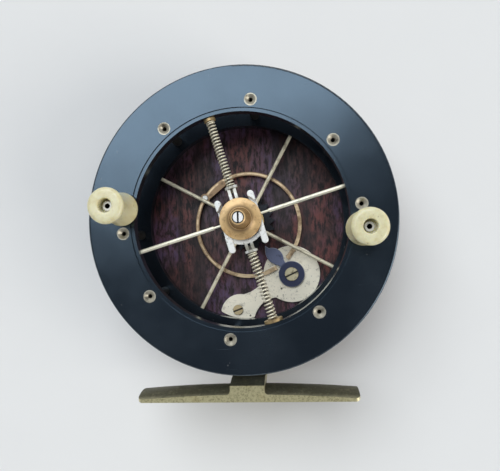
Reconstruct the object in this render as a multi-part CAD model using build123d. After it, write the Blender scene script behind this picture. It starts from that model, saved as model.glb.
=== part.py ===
from build123d import *
from math import asin, atan2, cos, degrees, dist, hypot, pi, radians, sin, sqrt, tan
import os

# Wood-backed centrepin fishing reel, lying on its back with the spindle upright.
# The origin is on the spindle axis, at the flat rear of the brass star.
# Seen from the handle side +X is right, +Y is away from the foot and +Z points out of the face.

os.makedirs("parts", exist_ok=True)

# Fits and gaps
running_fit = 0.05          # radial clearance of what turns or slides on a pin
push_fit = 0.02             # radial clearance of what is pressed or screwed home
sliding_gap = 0.1           # between flat pieces that slide past each other
side_gap = 0.3              # between the edges of moving neighbours
lip_gap = 0.8               # between the rear flange's rim and the wooden lip
flange_run = 0.6            # between the check plate and the rear flange
slot_side_gap = 0.2         # round the check button's stem
edge_break = 0.15           # small chamfer on edges that show

# Back plate and star
wood_thickness = 10.0
lip_width = 2.5
lip_height = 2.6
wood_edge_radius = 3.0
star_thickness = 2.6
star_centre_radius = 15.0
star_arm_reach = 42.0
star_arm_root_width = 13.0
star_arm_tip_width = 9.0
star_corner_radius = 4.0
star_screw_reach = 38.6
leg_joint_reach = 30.0      # where the foot's leg butts against the star's lower arm
leg_joint_gap = 0.2
leg_screw_reach = (36.0, 50.0)
screw_head_diameter = 5.0
screw_shank_diameter = 2.4
screw_shank_length = 8.0
screw_head_height = 1.3
screw_slot_width = 0.7
screw_slot_depth = 0.6
screw_slot_angle = 35.0

# Foot
foot_length = 84.0
foot_width = 16.0
foot_seat_radius = 18.0
foot_mid_thickness = 2.6
foot_tip_thickness = 1.0
foot_corner_radius = 2.0
foot_drop = 7.95            # wood's rim to the foot's lowest edges
foot_front_setback = 6.5    # front edge behind the drum's face
strap_width = 13.0
strap_thickness = 3.0
strap_bend_radius = 1.6
strap_rim_gap = 0.5
pedestal_rise = 3.3         # pedestal above the foot's top at its front edge
pedestal_slope = 7.0        # depth over which the pedestal's top falls to its front edge
pedestal_fillet = 1.6
pedestal_embed = 0.3        # bar above the underside of the saddle that it is sunk in

# Drum
flange_diameter = 114.3
flange_opening = 79.6
flange_thickness = 4.8
flange_edge_radius = 0.9
rebate_width = 1.4
rebate_depth = 0.6
line_width = 18.4
drum_angle = -6.4           # where the right handle stands, from +X
pillar_circle = 88.2
pillar_count = 8
pillar_shift_angle = 11.7   # the pillars that would meet the handles stand aside by this
pillar_diameter = 2.8
pillar_shoulder_diameter = 3.8
pillar_bore = 1.6
eyelet_diameter = 4.7
eyelet_depth = 0.9
eyelet_rim = 0.4

# Hub
spindle_diameter = 6.0
spindle_root_diameter = 8.0
spindle_collar_diameter = 11.0
spindle_collar_thickness = 0.8
spindle_groove_diameter = 4.8
spindle_end_rise = 2.0      # spindle end above the underside of the cap
bush_wall = 0.9
bush_length = 6.0
barrel_diameter = 10.4
neck_diameter = 9.5
neck_slot_width = 6.2
hub_plate_diameter = 14.8
hub_plate_thickness = 2.3
ratchet_tip_diameter = 24.0
ratchet_root_diameter = 19.0
ratchet_teeth = 20
ratchet_thickness = 1.6

# Spokes
spoke_diameter = 1.5
spoke_neck_diameter = 0.9
spoke_neck_length = 3.4
spoke_setback = 3.5         # spoke axis behind the flange's outer face
spoke_embed = 2.4

# Quick-release forks and their springs
fork_thickness = 0.8
fork_window_radius = 5.1
prong_width = 2.4
prong_height = 1.3          # finger pads above the underside of the cap
tongue_width = 5.8
tongue_gap = 0.1            # tongue from the floor of the groove
lower_prong_reach = 11.2
upper_prong_reach = 8.9
pad_start = 5.0
pad_edge_radius = 0.25
pad_cap_gap = 0.15          # finger pads from the cap's rim with the fork pulled back
release_travel = 1.0
top_plate_radius = 6.6
bottom_plate_radius = 9.4
bottom_plate_start = 2.5    # hub axis to the plate's straight edge
collar_diameter = 4.9
collar_thickness = 0.9
collar_reach = 11.9         # hub axis to the collar's inner face
leg_width = 1.1
leg_spacing = 2.1
leg_thickness = 0.7
leg_embed = 0.3
leg_drop_start = 9.0
guide_rod_diameter = 1.2
guide_rod_inner_reach = 10.4
seat_thickness = 1.0
top_seat_diameter = 4.4
bottom_seat_diameter = 7.0
seat_rim_gap = 0.2
top_spring_diameter = 3.4
top_spring_wire = 0.5
top_spring_turns = 22
bottom_spring_diameter = 3.7
bottom_spring_wire = 0.6
bottom_spring_turns = 19
spring_end_bend = 0.7
spring_wire_sides = 6       # a six-sided wire keeps the coils light

# Hub cap and regulator screw
cap_diameter = 15.5
cap_rim_thickness = 0.9
cap_crown_rise = 1.3
boss_base_diameter = 8.5
boss_step = 0.3
boss_bead = 0.5             # bead turned round the foot of the boss
boss_mouth = 0.3            # countersink round the regulator screw
boss_top_diameter = 5.2
boss_height = 7.6
regulator_diameter = 3.7
regulator_length = 4.0
regulator_slot_width = 0.65
regulator_slot_depth = 0.9
regulator_slot_angle = 90.0

# Handles
handle_height = 18.4
handle_base_diameter = 12.4
handle_waist_diameter = 10.4
handle_top_diameter = 12.6
handle_lip = 1.2
handle_edge_radius = 0.45
handle_counterbore_diameter = 4.8
handle_counterbore_depth = 4.0
handle_pin_diameter = 2.8
handle_pin_head_diameter = 3.5
handle_pin_head_thickness = 0.8
handle_pin_bore = 1.8
handle_pin_bore_depth = 9.0
handle_washer_diameter = 8.6
handle_washer_thickness = 0.7

# Check
check_plate_thickness = 1.2
check_pivot = (-4.8, -36.4)
check_pivot_diameter = 3.0
check_pivot_head_diameter = 4.2
check_head_thickness = 0.8
check_pivot_depth = 7.0
check_pivot_slot_angle = 20.0
check_on_angle = 4.3        # turn that brings the pawl into the ratchet
plate_lobe_radius = 11.8
plate_tail_width = 6.4
plate_tail_place = (-5.55, -35.05)
plate_top_join_angle = 191.0    # where the tail's edges leave the round end, seen from the pawl's pivot
plate_low_join_angle = 235.0
plate_corner_radius = 1.0
pawl_pivot = (18.05, -21.95)
pawl_pivot_diameter = 3.0
pawl_screw_head_diameter = 5.6
pawl_screw_slot_angle = 25.0
pawl_thickness = 1.2
pawl_eye_radius = 5.4
pawl_tip_reach = 16.2
pawl_tip_direction = 131.6
pawl_nose_angle = 54.0
pawl_nose_length = 2.0
pawl_nose_direction = 117.2
pawl_waist_width = 3.5
pawl_waist_reach = 6.6
pawl_leaf_bulge = 3.0
pawl_bulge_share = 0.66     # where the leaf is widest, along its reach
check_spring_centre = (0.65, -0.9)
check_spring_outer_radius = 22.2
check_spring_width = 1.5
check_spring_back_width = 3.3   # where the strip is left wide, opposite its ends
check_spring_back_angle = 129.0
check_spring_thickness = 1.0
check_spring_gap_angles = (-58.2, -42.7)
check_spring_pad_length = 5.0
check_spring_pad_width = 1.8
check_pin_angle = 147.0
check_pin_inset = 0.8       # from the spring's outer edge
check_pin_diameter = 2.0
check_pin_head_diameter = 2.6
check_ear_radius = 2.0
check_pin_depth = 6.0
button_place = (23.25, -25.2)
button_diameter = 8.0
button_thickness = 2.0
button_stem_diameter = 3.0
button_stem_seat = 0.7      # stem in a blind hole under the check plate

# Levels up the spindle
wood_rear = star_thickness
wood_face = wood_rear + wood_thickness
check_plate_top = wood_face + check_plate_thickness
back_flange_rear = check_plate_top + flange_run
back_flange_front = back_flange_rear + flange_thickness
front_flange_rear = back_flange_front + line_width
front_face = front_flange_rear + flange_thickness
back_spoke_level = back_flange_rear + spoke_setback
front_spoke_level = front_face - spoke_setback
hub_top = front_spoke_level + hub_plate_thickness / 2
low_fork_level = hub_top + sliding_gap
high_fork_level = low_fork_level + fork_thickness + sliding_gap
cap_level = high_fork_level + fork_thickness + sliding_gap
ratchet_level = wood_face + spindle_collar_thickness + side_gap
pawl_level = check_plate_top + sliding_gap
check_spring_level = check_plate_top + 2 * sliding_gap

# Radii and angles that several pieces share
flange_radius = flange_diameter / 2
opening_radius = flange_opening / 2
wood_recess_radius = flange_radius + lip_gap
wood_radius = wood_recess_radius + lip_width
foot_seat_reach = wood_radius + foot_drop
pillar_radius = pillar_circle / 2
hub_plate_radius = hub_plate_diameter / 2
spindle_radius = spindle_diameter / 2
bush_radius = spindle_radius + running_fit + bush_wall
spoke_angle = drum_angle + 180 / pillar_count
spoke_pitch = 360 / pillar_count
fork_outer_radius = fork_window_radius + prong_width
check_pin_reach = check_spring_outer_radius - check_pin_inset
seat_reach = opening_radius - seat_rim_gap - seat_thickness
collar_outer_reach = collar_reach + collar_thickness
handle_angles = (drum_angle, drum_angle + 180)


def turned(*edges):
    """Solid of revolution about the spindle axis, from an outline of (radius, height)."""
    return revolve(Plane.XZ * make_face(Curve() + list(edges)), Axis.Z)


def lathe(*points):
    """Solid of revolution whose outline has only straight runs."""
    return turned(Polyline(*points, close=True))


def plate(sketch, level, thickness):
    """Flat piece of a plan outline, standing on a level."""
    return extrude(Pos(0, 0, level) * sketch, amount=thickness)


def peg(place, diameter, low, high):
    """Upright round pin between two levels at a place in plan."""
    return Pos(place[0], place[1], (low + high) / 2) * Cylinder(diameter / 2, high - low)


def spoke(angle, level, diameter, inner, outer):
    """Round rod along a radius of the drum."""
    rod = Rot(0, 90, 0) * Cylinder(diameter / 2, outer - inner)
    return Rot(0, 0, angle) * Pos((inner + outer) / 2, 0, level) * rod


def around(piece, angle, radius=0.0):
    """Piece moved out along +X and turned about the spindle axis."""
    return Rot(0, 0, angle) * Pos(radius, 0, 0) * piece


def polar(centre, radius, angle):
    """Point at a radius and angle from a centre, in plan."""
    return (centre[0] + radius * cos(radians(angle)), centre[1] + radius * sin(radians(angle)))


def broken(piece, end=-1):
    """Piece with its upper edges, or with 0 its lower edges, slightly chamfered."""
    return chamfer(piece.edges().group_by(Axis.Z)[end], edge_break)


def write(name, *pieces):
    """One file for a node, with one or more separate solids."""
    shape = pieces[0] if len(pieces) == 1 else Compound(children=list(pieces))
    export_step(shape, f"parts/{name}.step")


def slotted_head(place, level, width, depth, length, angle):
    """Driver slot cut down into a screw head's top."""
    slot = Box(length, width, 2 * depth)
    return Pos(place[0], place[1], level) * Rot(0, 0, angle) * slot


# Back plate: a turned disc with a lip, bored for what is fixed in it
def star_screw_places():
    arms = [polar((0, 0), star_screw_reach, angle) for angle in (0, 90, 180)]
    return arms + [(0, -reach) for reach in leg_screw_reach]


def check_pin_place():
    return polar(check_spring_centre, check_pin_reach, check_pin_angle)


def turned_button_place(angle):
    """Where the button's stem stands once the check plate has turned by an angle."""
    across = button_place[0] - check_pivot[0]
    along = button_place[1] - check_pivot[1]
    return polar(check_pivot, hypot(across, along), degrees(atan2(along, across)) + angle)


def button_slot():
    """Slot that the button's stem sweeps through the wood, with end play."""
    middle = turned_button_place(check_on_angle / 2)
    start, end = turned_button_place(0), turned_button_place(check_on_angle)
    width = button_stem_diameter + 2 * slot_side_gap
    turn = degrees(atan2(end[1] - start[1], end[0] - start[0]))
    slot = Rot(0, 0, turn) * SlotCenterToCenter(dist(start, end), width)
    return plate(Pos(*middle) * slot, wood_rear, wood_thickness)


def back_plate():
    lip_spring = wood_face + lip_height - lip_width / 2
    edge = wood_edge_radius
    blank = turned(
        Polyline((0, wood_rear), (wood_radius - edge, wood_rear)),
        RadiusArc((wood_radius - edge, wood_rear), (wood_radius, wood_rear + edge), -edge),
        Polyline((wood_radius, wood_rear + edge), (wood_radius, lip_spring)),
        RadiusArc((wood_radius, lip_spring), (wood_recess_radius, lip_spring), -lip_width / 2),
        Polyline((wood_recess_radius, lip_spring), (wood_recess_radius, wood_face), (0, wood_face)),
        Polyline((0, wood_face), (0, wood_rear)),
    )
    holes = [peg((0, 0), spindle_root_diameter + 2 * push_fit, wood_rear, wood_face)]
    shank = screw_shank_diameter + 2 * push_fit
    holes += [peg(at, shank, wood_rear, screw_shank_length + push_fit) for at in star_screw_places()]
    pivot_floor = wood_face - check_pivot_depth - push_fit
    holes += [peg(check_pivot, check_pivot_diameter + 2 * push_fit, pivot_floor, wood_face)]
    pin_floor = wood_face - check_pin_depth - push_fit
    holes += [peg(check_pin_place(), check_pin_diameter + 2 * push_fit, pin_floor, wood_face)]
    return blank - holes - button_slot()


def countersunk(place):
    """Space of a countersunk screw's head in the star or the leg."""
    wide = screw_head_diameter / 2 + push_fit
    narrow = screw_shank_diameter / 2 + push_fit
    head = lathe((0, 0), (wide, 0), (narrow, screw_head_height), (narrow, star_thickness),
                 (0, star_thickness))
    return Pos(*place, 0) * head


def star_back():
    root, tip = star_arm_root_width / 2, star_arm_tip_width / 2
    reach = star_arm_reach
    arm = make_face(Polyline((0, -root), (reach, -tip), (reach, tip), (0, root), close=True))
    arm += Pos(reach, 0) * Circle(tip)
    lower = Pos(0, -leg_joint_reach / 2) * Rectangle(strap_width, leg_joint_reach)
    outline = Circle(star_centre_radius) + [Rot(0, 0, angle) * arm for angle in (0, 90, 180)] + lower
    corners = [v for v in outline.vertices() if abs(hypot(v.X, v.Y) - star_centre_radius) < push_fit]
    outline = fillet(corners, star_corner_radius)
    body = broken(plate(outline, 0, star_thickness), 0)
    body -= peg((0, 0), spindle_diameter + 2 * push_fit, 0, star_thickness)
    return body - [countersunk(at) for at in star_screw_places()[:3]]


def star_screws():
    wide, narrow = screw_head_diameter / 2, screw_shank_diameter / 2
    screw = lathe((0, 0), (wide, 0), (narrow, screw_head_height), (narrow, screw_shank_length),
                  (0, screw_shank_length))
    width, depth = screw_slot_width, screw_slot_depth
    screw -= slotted_head((0, 0), 0, width, depth, screw_head_diameter, screw_slot_angle)
    return [Pos(*place, 0) * screw for place in star_screw_places()]


# Foot: a saddle turned about the rod's line, a strap under the rim and a leg on the rear of the wood
def foot():
    half = foot_width / 2
    front = front_face - foot_front_setback
    middle = front - half
    rod_line = foot_seat_reach + sqrt(foot_seat_radius**2 - half**2)
    tip_radius = foot_seat_radius + foot_tip_thickness
    mid_radius = foot_seat_radius + foot_mid_thickness
    section = make_face(
        Curve()
        + [
            Polyline(
                (-foot_length / 2, tip_radius),
                (-foot_length / 2, foot_seat_radius),
                (foot_length / 2, foot_seat_radius),
                (foot_length / 2, tip_radius),
            ),
            ThreePointArc((foot_length / 2, tip_radius), (0, mid_radius), (-foot_length / 2, tip_radius)),
        ]
    )
    spread = 2 * degrees(asin(half / foot_seat_radius))
    saddle = Rot(-spread / 2, 0, 0) * revolve(section, Axis.X, spread)
    saddle = Pos(0, -rod_line, middle) * saddle
    plan = Plane.XZ * Pos(0, middle) * RectangleRounded(foot_length, foot_width, foot_corner_radius)
    saddle &= extrude(Pos(0, -foot_seat_reach - half, 0) * plan, amount=-4 * half)
    edge_top = rod_line - sqrt(mid_radius**2 - half**2)
    saddle += pedestal_corners(front, edge_top)
    floor_reach = rod_line - foot_seat_radius - pedestal_embed
    return saddle + foot_strap(front, edge_top - pedestal_rise, floor_reach)


def pedestal_corners(front, edge_top):
    """Hollow corners where the pedestal's sides run out on to the foot's front edge."""
    size = pedestal_fillet
    corner = Pos(size / 2, size / 2) * Rectangle(size, size) - Pos(size, size) * Circle(size)
    right = Pos(strap_width / 2, -edge_top - sliding_gap, front) * corner
    return [extrude(side, amount=-foot_width / 2) for side in (right, mirror(right, about=Plane.YZ))]


def foot_strap(front, pedestal_reach, floor_reach):
    """Leg on the rear of the wood, strap under its rim and pedestal on the saddle, as one bent bar."""
    high = wood_radius + strap_rim_gap
    low = high + strap_thickness
    rear_bend = wood_face + strap_thickness
    step = front - foot_width + strap_thickness
    upper = Polyline(
        (-leg_joint_reach - leg_joint_gap, star_thickness),
        (-high, star_thickness),
        (-high, front - pedestal_slope),
        (-pedestal_reach, front),
    )
    lower = Polyline(
        (-pedestal_reach, front),
        (-floor_reach, front),
        (-floor_reach, step),
        (-low, rear_bend - strap_bend_radius),
        (-low, 0),
        (-leg_joint_reach - leg_joint_gap, 0),
        (-leg_joint_reach - leg_joint_gap, star_thickness),
    )
    side = Plane.YZ * make_face(Curve() + [upper, lower])
    bar = extrude(side, amount=strap_width / 2, both=True)
    heel = bar.edges().filter_by(Axis.X).group_by(Axis.Z)[0].sort_by(Axis.Y)[0]
    bar = fillet(heel, strap_thickness - push_fit)
    return bar - [countersunk(at) for at in star_screw_places()[3:]]


# Spindle: riveted into the star, with a collar on the wood and a groove for the release forks
def spindle():
    journal, groove = spindle_radius, spindle_groove_diameter / 2
    root, collar = spindle_root_diameter / 2, spindle_collar_diameter / 2
    collar_top = wood_face + spindle_collar_thickness
    end = cap_level + spindle_end_rise
    chamfer = spindle_radius - groove
    return lathe(
        (0, 0),
        (journal, 0),
        (journal, wood_rear),
        (root, wood_rear),
        (root, wood_face),
        (collar, wood_face),
        (collar, collar_top),
        (journal, collar_top),
        (journal, hub_top),
        (groove, hub_top),
        (groove, cap_level),
        (journal, cap_level),
        (journal, end - chamfer),
        (groove, end),
        (0, end),
    )


# Check: a lever on the wood that carries a leaf pawl, centred by a horseshoe spring
def check_plate():
    lobe = Pos(*pawl_pivot) * Circle(plate_lobe_radius)
    tail = plate_tail_width
    x, y = plate_tail_place
    lobe_x, lobe_y = pawl_pivot
    reach = plate_lobe_radius
    top_join = polar(pawl_pivot, reach, plate_top_join_angle)
    low_join = polar(pawl_pivot, reach, plate_low_join_angle)
    shoulder = (x + 0.5 * tail, y + 0.78 * tail)
    end_top = (x - tail, y - 0.3 * tail)
    end_low = (x + 1.2 * tail, y - 0.74 * tail)
    neck = make_face(
        Curve()
        + [
            ThreePointArc(top_join, (x + 1.25 * tail, y + 1.1 * tail), shoulder),
            ThreePointArc(shoulder, (x - 0.5 * tail, y + 0.55 * tail), end_top),
            ThreePointArc(end_top, (x, y - 0.72 * tail), end_low),
            ThreePointArc(end_low, (x + 1.5 * tail, y - 0.1 * tail), low_join),
            Polyline(low_join, (lobe_x, lobe_y), top_join),
        ]
    )
    outline = lobe + neck
    outline = fillet(outline.vertices(), plate_corner_radius)
    body = broken(plate(outline, wood_face, check_plate_thickness))
    body -= peg(check_pivot, check_pivot_diameter + 2 * running_fit, wood_face, check_plate_top)
    body -= peg(pawl_pivot, pawl_pivot_diameter + 2 * push_fit, wood_face, check_plate_top)
    stem_roof = wood_face + button_stem_seat + push_fit
    return body - peg(button_place, button_stem_diameter + 2 * push_fit, wood_face, stem_roof)


def headed_screw(place, shank, head, low, seat, slot_angle):
    """Cheese-headed screw whose head lies on a seat level."""
    top = seat + check_head_thickness
    body = peg(place, shank, low, seat) + broken(peg(place, head, seat, top))
    return body - slotted_head(place, top, screw_slot_width, check_head_thickness / 2, head, slot_angle)


def check_button():
    disc_top = wood_rear - slot_side_gap
    stem = peg(button_place, button_stem_diameter, disc_top, wood_face + button_stem_seat)
    disc = peg(button_place, button_diameter, disc_top - button_thickness, disc_top)
    rim = disc.edges().group_by(Axis.Z)[0]
    return stem + fillet(rim, button_thickness / 2)


def pawl():
    tip = polar(pawl_pivot, pawl_tip_reach, pawl_tip_direction)
    inward = pawl_nose_direction + 180
    upper = polar(tip, pawl_nose_length, inward + pawl_nose_angle / 2)
    lower = polar(tip, pawl_nose_length, inward - pawl_nose_angle / 2)
    middle = polar(pawl_pivot, pawl_bulge_share * pawl_tip_reach, pawl_tip_direction)
    neck = polar(pawl_pivot, pawl_waist_reach, pawl_tip_direction)
    side = pawl_tip_direction - 90
    upper_bulge = polar(middle, pawl_leaf_bulge, side)
    lower_bulge = polar(middle, -pawl_leaf_bulge, side)
    upper_waist = polar(neck, pawl_waist_width / 2, side)
    lower_waist = polar(neck, -pawl_waist_width / 2, side)
    leaf = make_face(
        Curve()
        + [
            Polyline(lower, tip, upper),
            ThreePointArc(upper, upper_bulge, upper_waist),
            Polyline(upper_waist, pawl_pivot, lower_waist),
            ThreePointArc(lower_waist, lower_bulge, lower),
        ]
    )
    outline = leaf + Pos(*pawl_pivot) * Circle(pawl_eye_radius)
    body = broken(plate(outline, pawl_level, pawl_thickness))
    pawl_top = pawl_level + pawl_thickness
    return body - peg(pawl_pivot, pawl_pivot_diameter + 2 * running_fit, pawl_level, pawl_top)


def check_spring():
    first, last = check_spring_gap_angles
    reach = 2 * check_spring_outer_radius
    rim = Circle(check_spring_outer_radius)
    back_start = check_spring_outer_radius - check_spring_back_width
    beyond = Pos(back_start + reach / 2, 0) * Rectangle(reach, reach)
    back = rim & (Rot(0, 0, check_spring_back_angle) * beyond)
    ring = rim - Circle(check_spring_outer_radius - check_spring_width) + back
    wedge = make_face(
        Polyline((0, 0), polar((0, 0), reach, first), polar((0, 0), reach, last), close=True)
    )
    ring -= wedge
    pad_radius = check_spring_outer_radius - check_spring_pad_width / 2
    half_turn = degrees(check_spring_pad_length / 2 / pad_radius)
    for angle in (first - half_turn, last + half_turn):
        pad = Rectangle(check_spring_pad_width, check_spring_pad_length)
        ring += Rot(0, 0, angle) * Pos(pad_radius, 0) * pad
    ring += Pos(*polar((0, 0), check_pin_reach, check_pin_angle)) * Circle(check_ear_radius)
    body = plate(Pos(*check_spring_centre) * ring, check_spring_level, check_spring_thickness)
    spring_top = check_spring_level + check_spring_thickness
    return body - peg(check_pin_place(), check_pin_diameter + 2 * push_fit, check_spring_level, spring_top)


def check_spring_pin():
    spring_top = check_spring_level + check_spring_thickness
    pin = peg(check_pin_place(), check_pin_diameter, wood_face - check_pin_depth, spring_top)
    shoulder = peg(check_pin_place(), check_pin_head_diameter, wood_face, check_spring_level)
    head = peg(check_pin_place(), check_pin_head_diameter, spring_top, spring_top + check_head_thickness)
    return pin + shoulder + fillet(head.edges().group_by(Axis.Z)[-1], check_head_thickness / 2)


# Drum: two rings held apart by shouldered hollow rivets
def pillar_angles():
    angles = []
    for number in range(pillar_count):
        beside_handle = number % (pillar_count // 2) == 0
        angles.append(drum_angle + number * spoke_pitch + (pillar_shift_angle if beside_handle else 0))
    return angles


def pillar(fit=0.0):
    """One hollow rivet, or with a fit the space that it takes in the flanges."""
    shank = pillar_diameter / 2 + fit
    flare = eyelet_diameter / 2 + fit
    low, high = back_flange_rear + eyelet_depth, front_face - eyelet_depth
    rivet = lathe((0, back_flange_rear), (flare, back_flange_rear), (shank, low), (shank, high),
                  (flare, front_face), (0, front_face))
    if fit:
        return rivet
    shoulder = pillar_shoulder_diameter / 2
    rivet += lathe((0, back_flange_front), (shoulder, back_flange_front),
                   (shoulder, front_flange_rear), (0, front_flange_rear))
    bore, mouth = pillar_bore / 2, flare - eyelet_rim
    return rivet - lathe((0, back_flange_rear), (mouth, back_flange_rear), (bore, low), (bore, high),
                         (mouth, front_face), (0, front_face))


def flange_blank(rear, outer_face):
    """Ring between a rear level and an outer face, rebated round the opening on the outer side."""
    inward = 1 if rear < outer_face else -1
    edge = flange_edge_radius
    rim = flange_radius
    step = outer_face - inward * rebate_depth
    rebate = opening_radius + rebate_width
    near, far = outer_face - inward * edge, rear + inward * edge
    return turned(
        Polyline((opening_radius, rear), (rim - edge, rear)),
        RadiusArc((rim - edge, rear), (rim, far), -inward * edge),
        Polyline((rim, far), (rim, near)),
        RadiusArc((rim, near), (rim - edge, outer_face), -inward * edge),
        Polyline((rim - edge, outer_face), (rebate, outer_face), (rebate, step)),
        Polyline((rebate, step), (opening_radius, step), (opening_radius, rear)),
    )


def spoke_hole(angle, level, diameter):
    outer = opening_radius + spoke_embed + push_fit
    return spoke(angle, level, diameter + 2 * push_fit, opening_radius - flange_edge_radius, outer)


def front_spoke_angles():
    return [spoke_angle, spoke_angle + 180]


def guide_angles():
    return [spoke_angle + 90, spoke_angle + 270]


def back_spoke_angles():
    return [spoke_angle + spoke_pitch + 90 * number for number in range(4)]


def front_flange():
    ring = flange_blank(front_flange_rear, front_face)
    ring -= [around(pillar(push_fit), angle, pillar_radius) for angle in pillar_angles()]
    ring -= [around(handle_pin(push_fit), angle, pillar_radius) for angle in handle_angles]
    ring -= [spoke_hole(angle, front_spoke_level, spoke_diameter) for angle in front_spoke_angles()]
    return ring - [spoke_hole(angle, front_spoke_level, guide_rod_diameter) for angle in guide_angles()]


def back_flange():
    ring = flange_blank(back_flange_front, back_flange_rear)
    ring -= [around(pillar(push_fit), angle, pillar_radius) for angle in pillar_angles()]
    return ring - [spoke_hole(angle, back_spoke_level, spoke_diameter) for angle in back_spoke_angles()]


def hub():
    barrel, plate_radius = barrel_diameter / 2, hub_plate_radius
    bore = bush_radius + push_fit
    half = hub_plate_thickness / 2
    body = lathe(
        (bore, ratchet_level),
        (barrel, ratchet_level),
        (barrel, back_spoke_level - half),
        (plate_radius, back_spoke_level - half),
        (plate_radius, back_spoke_level + half),
        (barrel, back_spoke_level + half),
        (barrel, front_spoke_level - half),
        (plate_radius, front_spoke_level - half),
        (plate_radius, hub_top),
        (bore, hub_top),
    )
    neck = lathe(
        (spindle_radius + side_gap, hub_top),
        (neck_diameter / 2, hub_top),
        (neck_diameter / 2, cap_level),
        (spindle_radius + side_gap, cap_level),
    )
    cut = Box(neck_slot_width, 2 * neck_diameter, cap_level - hub_top)
    cut = Pos(0, 0, (hub_top + cap_level) / 2) * cut
    body += Rot(0, 0, spoke_angle) * (neck - cut)
    hole_inner = hub_plate_radius - spoke_embed - push_fit
    hole_outer = hub_plate_radius + spoke_embed
    neck_hole = spoke_neck_diameter + 2 * push_fit
    spoke_bore = spoke_diameter + 2 * push_fit
    for angle in front_spoke_angles():
        body -= spoke(angle, front_spoke_level, neck_hole, hole_inner, hole_outer)
    for angle in back_spoke_angles():
        body -= spoke(angle, back_spoke_level, spoke_bore, hole_inner, hole_outer)
    return body


def hub_bushes():
    inner = spindle_radius + running_fit
    bushes = []
    for low in (ratchet_level, hub_top - bush_length):
        high = low + bush_length
        bushes.append(lathe((inner, low), (bush_radius, low), (bush_radius, high), (inner, high)))
    return bushes


def ratchet_gap_angle():
    """Where a tooth gap waits for the pawl's tip, with the check switched on."""
    tip = polar(pawl_pivot, pawl_tip_reach, pawl_tip_direction)
    across, along = tip[0] - check_pivot[0], tip[1] - check_pivot[1]
    turned_tip = polar(check_pivot, hypot(across, along), degrees(atan2(along, across)) + check_on_angle)
    return degrees(atan2(turned_tip[1], turned_tip[0]))


def ratchet_wheel():
    pitch = 360 / ratchet_teeth
    corners = []
    for number in range(ratchet_teeth):
        root_angle = ratchet_gap_angle() + number * pitch
        corners.append(polar((0, 0), ratchet_root_diameter / 2, root_angle))
        corners.append(polar((0, 0), ratchet_tip_diameter / 2, root_angle + pitch / 2))
    outline = make_face(Polyline(*corners, close=True)) - Circle(barrel_diameter / 2 + push_fit)
    return plate(outline, ratchet_level, ratchet_thickness)


def front_spokes():
    inner = hub_plate_radius - spoke_embed
    shoulder = hub_plate_radius + spoke_neck_length
    outer = opening_radius + spoke_embed
    rods = []
    for angle in front_spoke_angles():
        neck = spoke(angle, front_spoke_level, spoke_neck_diameter, inner, shoulder)
        rods.append(neck + spoke(angle, front_spoke_level, spoke_diameter, shoulder, outer))
    return rods


def back_spokes():
    inner, outer = hub_plate_radius - spoke_embed, opening_radius + spoke_embed
    return [spoke(angle, back_spoke_level, spoke_diameter, inner, outer) for angle in back_spoke_angles()]


# Quick release: two forks that grip the spindle's groove from opposite sides
def fork(level, reach, base_radius, base_start=0.0):
    """Fork with its tail towards +Y and its prongs towards -Y, before it is turned into place."""
    window, outer = fork_window_radius, fork_outer_radius
    half_width = min(base_radius, outer)
    tail_side = Pos(0, base_start + base_radius) * Rectangle(2 * half_width, 2 * base_radius)
    base = (Circle(base_radius) & tail_side) - Circle(window)
    tongue_start = spindle_groove_diameter / 2 + tongue_gap
    tongue_length = (window + outer) / 2 - tongue_start
    base += Pos(0, tongue_start + tongue_length / 2) * Rectangle(tongue_width, tongue_length)
    middle = window + prong_width / 2
    end = reach - prong_width / 2
    arms = Sketch()
    pads = Sketch()
    for side in (-middle, middle):
        tip = Pos(side, -end) * Circle(prong_width / 2)
        arms += Pos(side, (base_start - end) / 2) * Rectangle(prong_width, end + base_start) + tip
        pads += Pos(side, -(pad_start + end) / 2) * Rectangle(prong_width, end - pad_start) + tip
    clear = cap_diameter / 2 + pad_cap_gap
    pads -= Pos(0, -release_travel) * Circle(clear)
    body = broken(plate(base + arms, level, fork_thickness))
    finger_pads = plate(pads, level, cap_level + prong_height - level)
    rims = finger_pads.edges().group_by(Axis.Z)[-1]
    return body + fillet(rims, pad_edge_radius) + fork_tail(level, base_radius)


def fork_tail(level, base_radius):
    """Two legs down to the sliding collar that the release spring presses on."""
    collar_radius = collar_diameter / 2
    collar = Cylinder(collar_radius, collar_thickness)
    collar -= Cylinder(guide_rod_diameter / 2 + running_fit, collar_thickness)
    collar = Pos(0, collar_reach + collar_thickness / 2, front_spoke_level) * Rot(90, 0, 0) * collar
    leg_low = front_spoke_level + guide_rod_diameter / 2 + side_gap
    end = collar_reach + leg_embed
    start = base_radius - prong_width / 2
    bend = max(leg_drop_start, base_radius)
    legs = Plane.YZ * make_face(
        Polyline(
            (start, level),
            (bend, level),
            (end, leg_low),
            (end, leg_low + leg_thickness),
            (bend, level + fork_thickness),
            (start, level + fork_thickness),
            close=True,
        )
    )
    leg = extrude(legs, amount=leg_width / 2, both=True)
    return [collar] + [Pos(side * leg_spacing / 2, 0, 0) * leg for side in (-1, 1)]


def top_release_fork():
    return Rot(0, 0, spoke_angle) * fork(high_fork_level, lower_prong_reach, top_plate_radius)


def bottom_release_fork():
    bottom = fork(low_fork_level, upper_prong_reach, bottom_plate_radius, bottom_plate_start)
    return Rot(0, 0, spoke_angle + 180) * bottom


def guide_rods():
    inner, outer = guide_rod_inner_reach, opening_radius + spoke_embed
    return [spoke(a, front_spoke_level, guide_rod_diameter, inner, outer) for a in guide_angles()]


def spring_seats():
    seats = []
    for angle, diameter in zip(guide_angles(), (top_seat_diameter, bottom_seat_diameter)):
        seat = spoke(angle, front_spoke_level, diameter, seat_reach, seat_reach + seat_thickness)
        seats.append(seat - spoke_hole_through(angle))
    return seats


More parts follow.
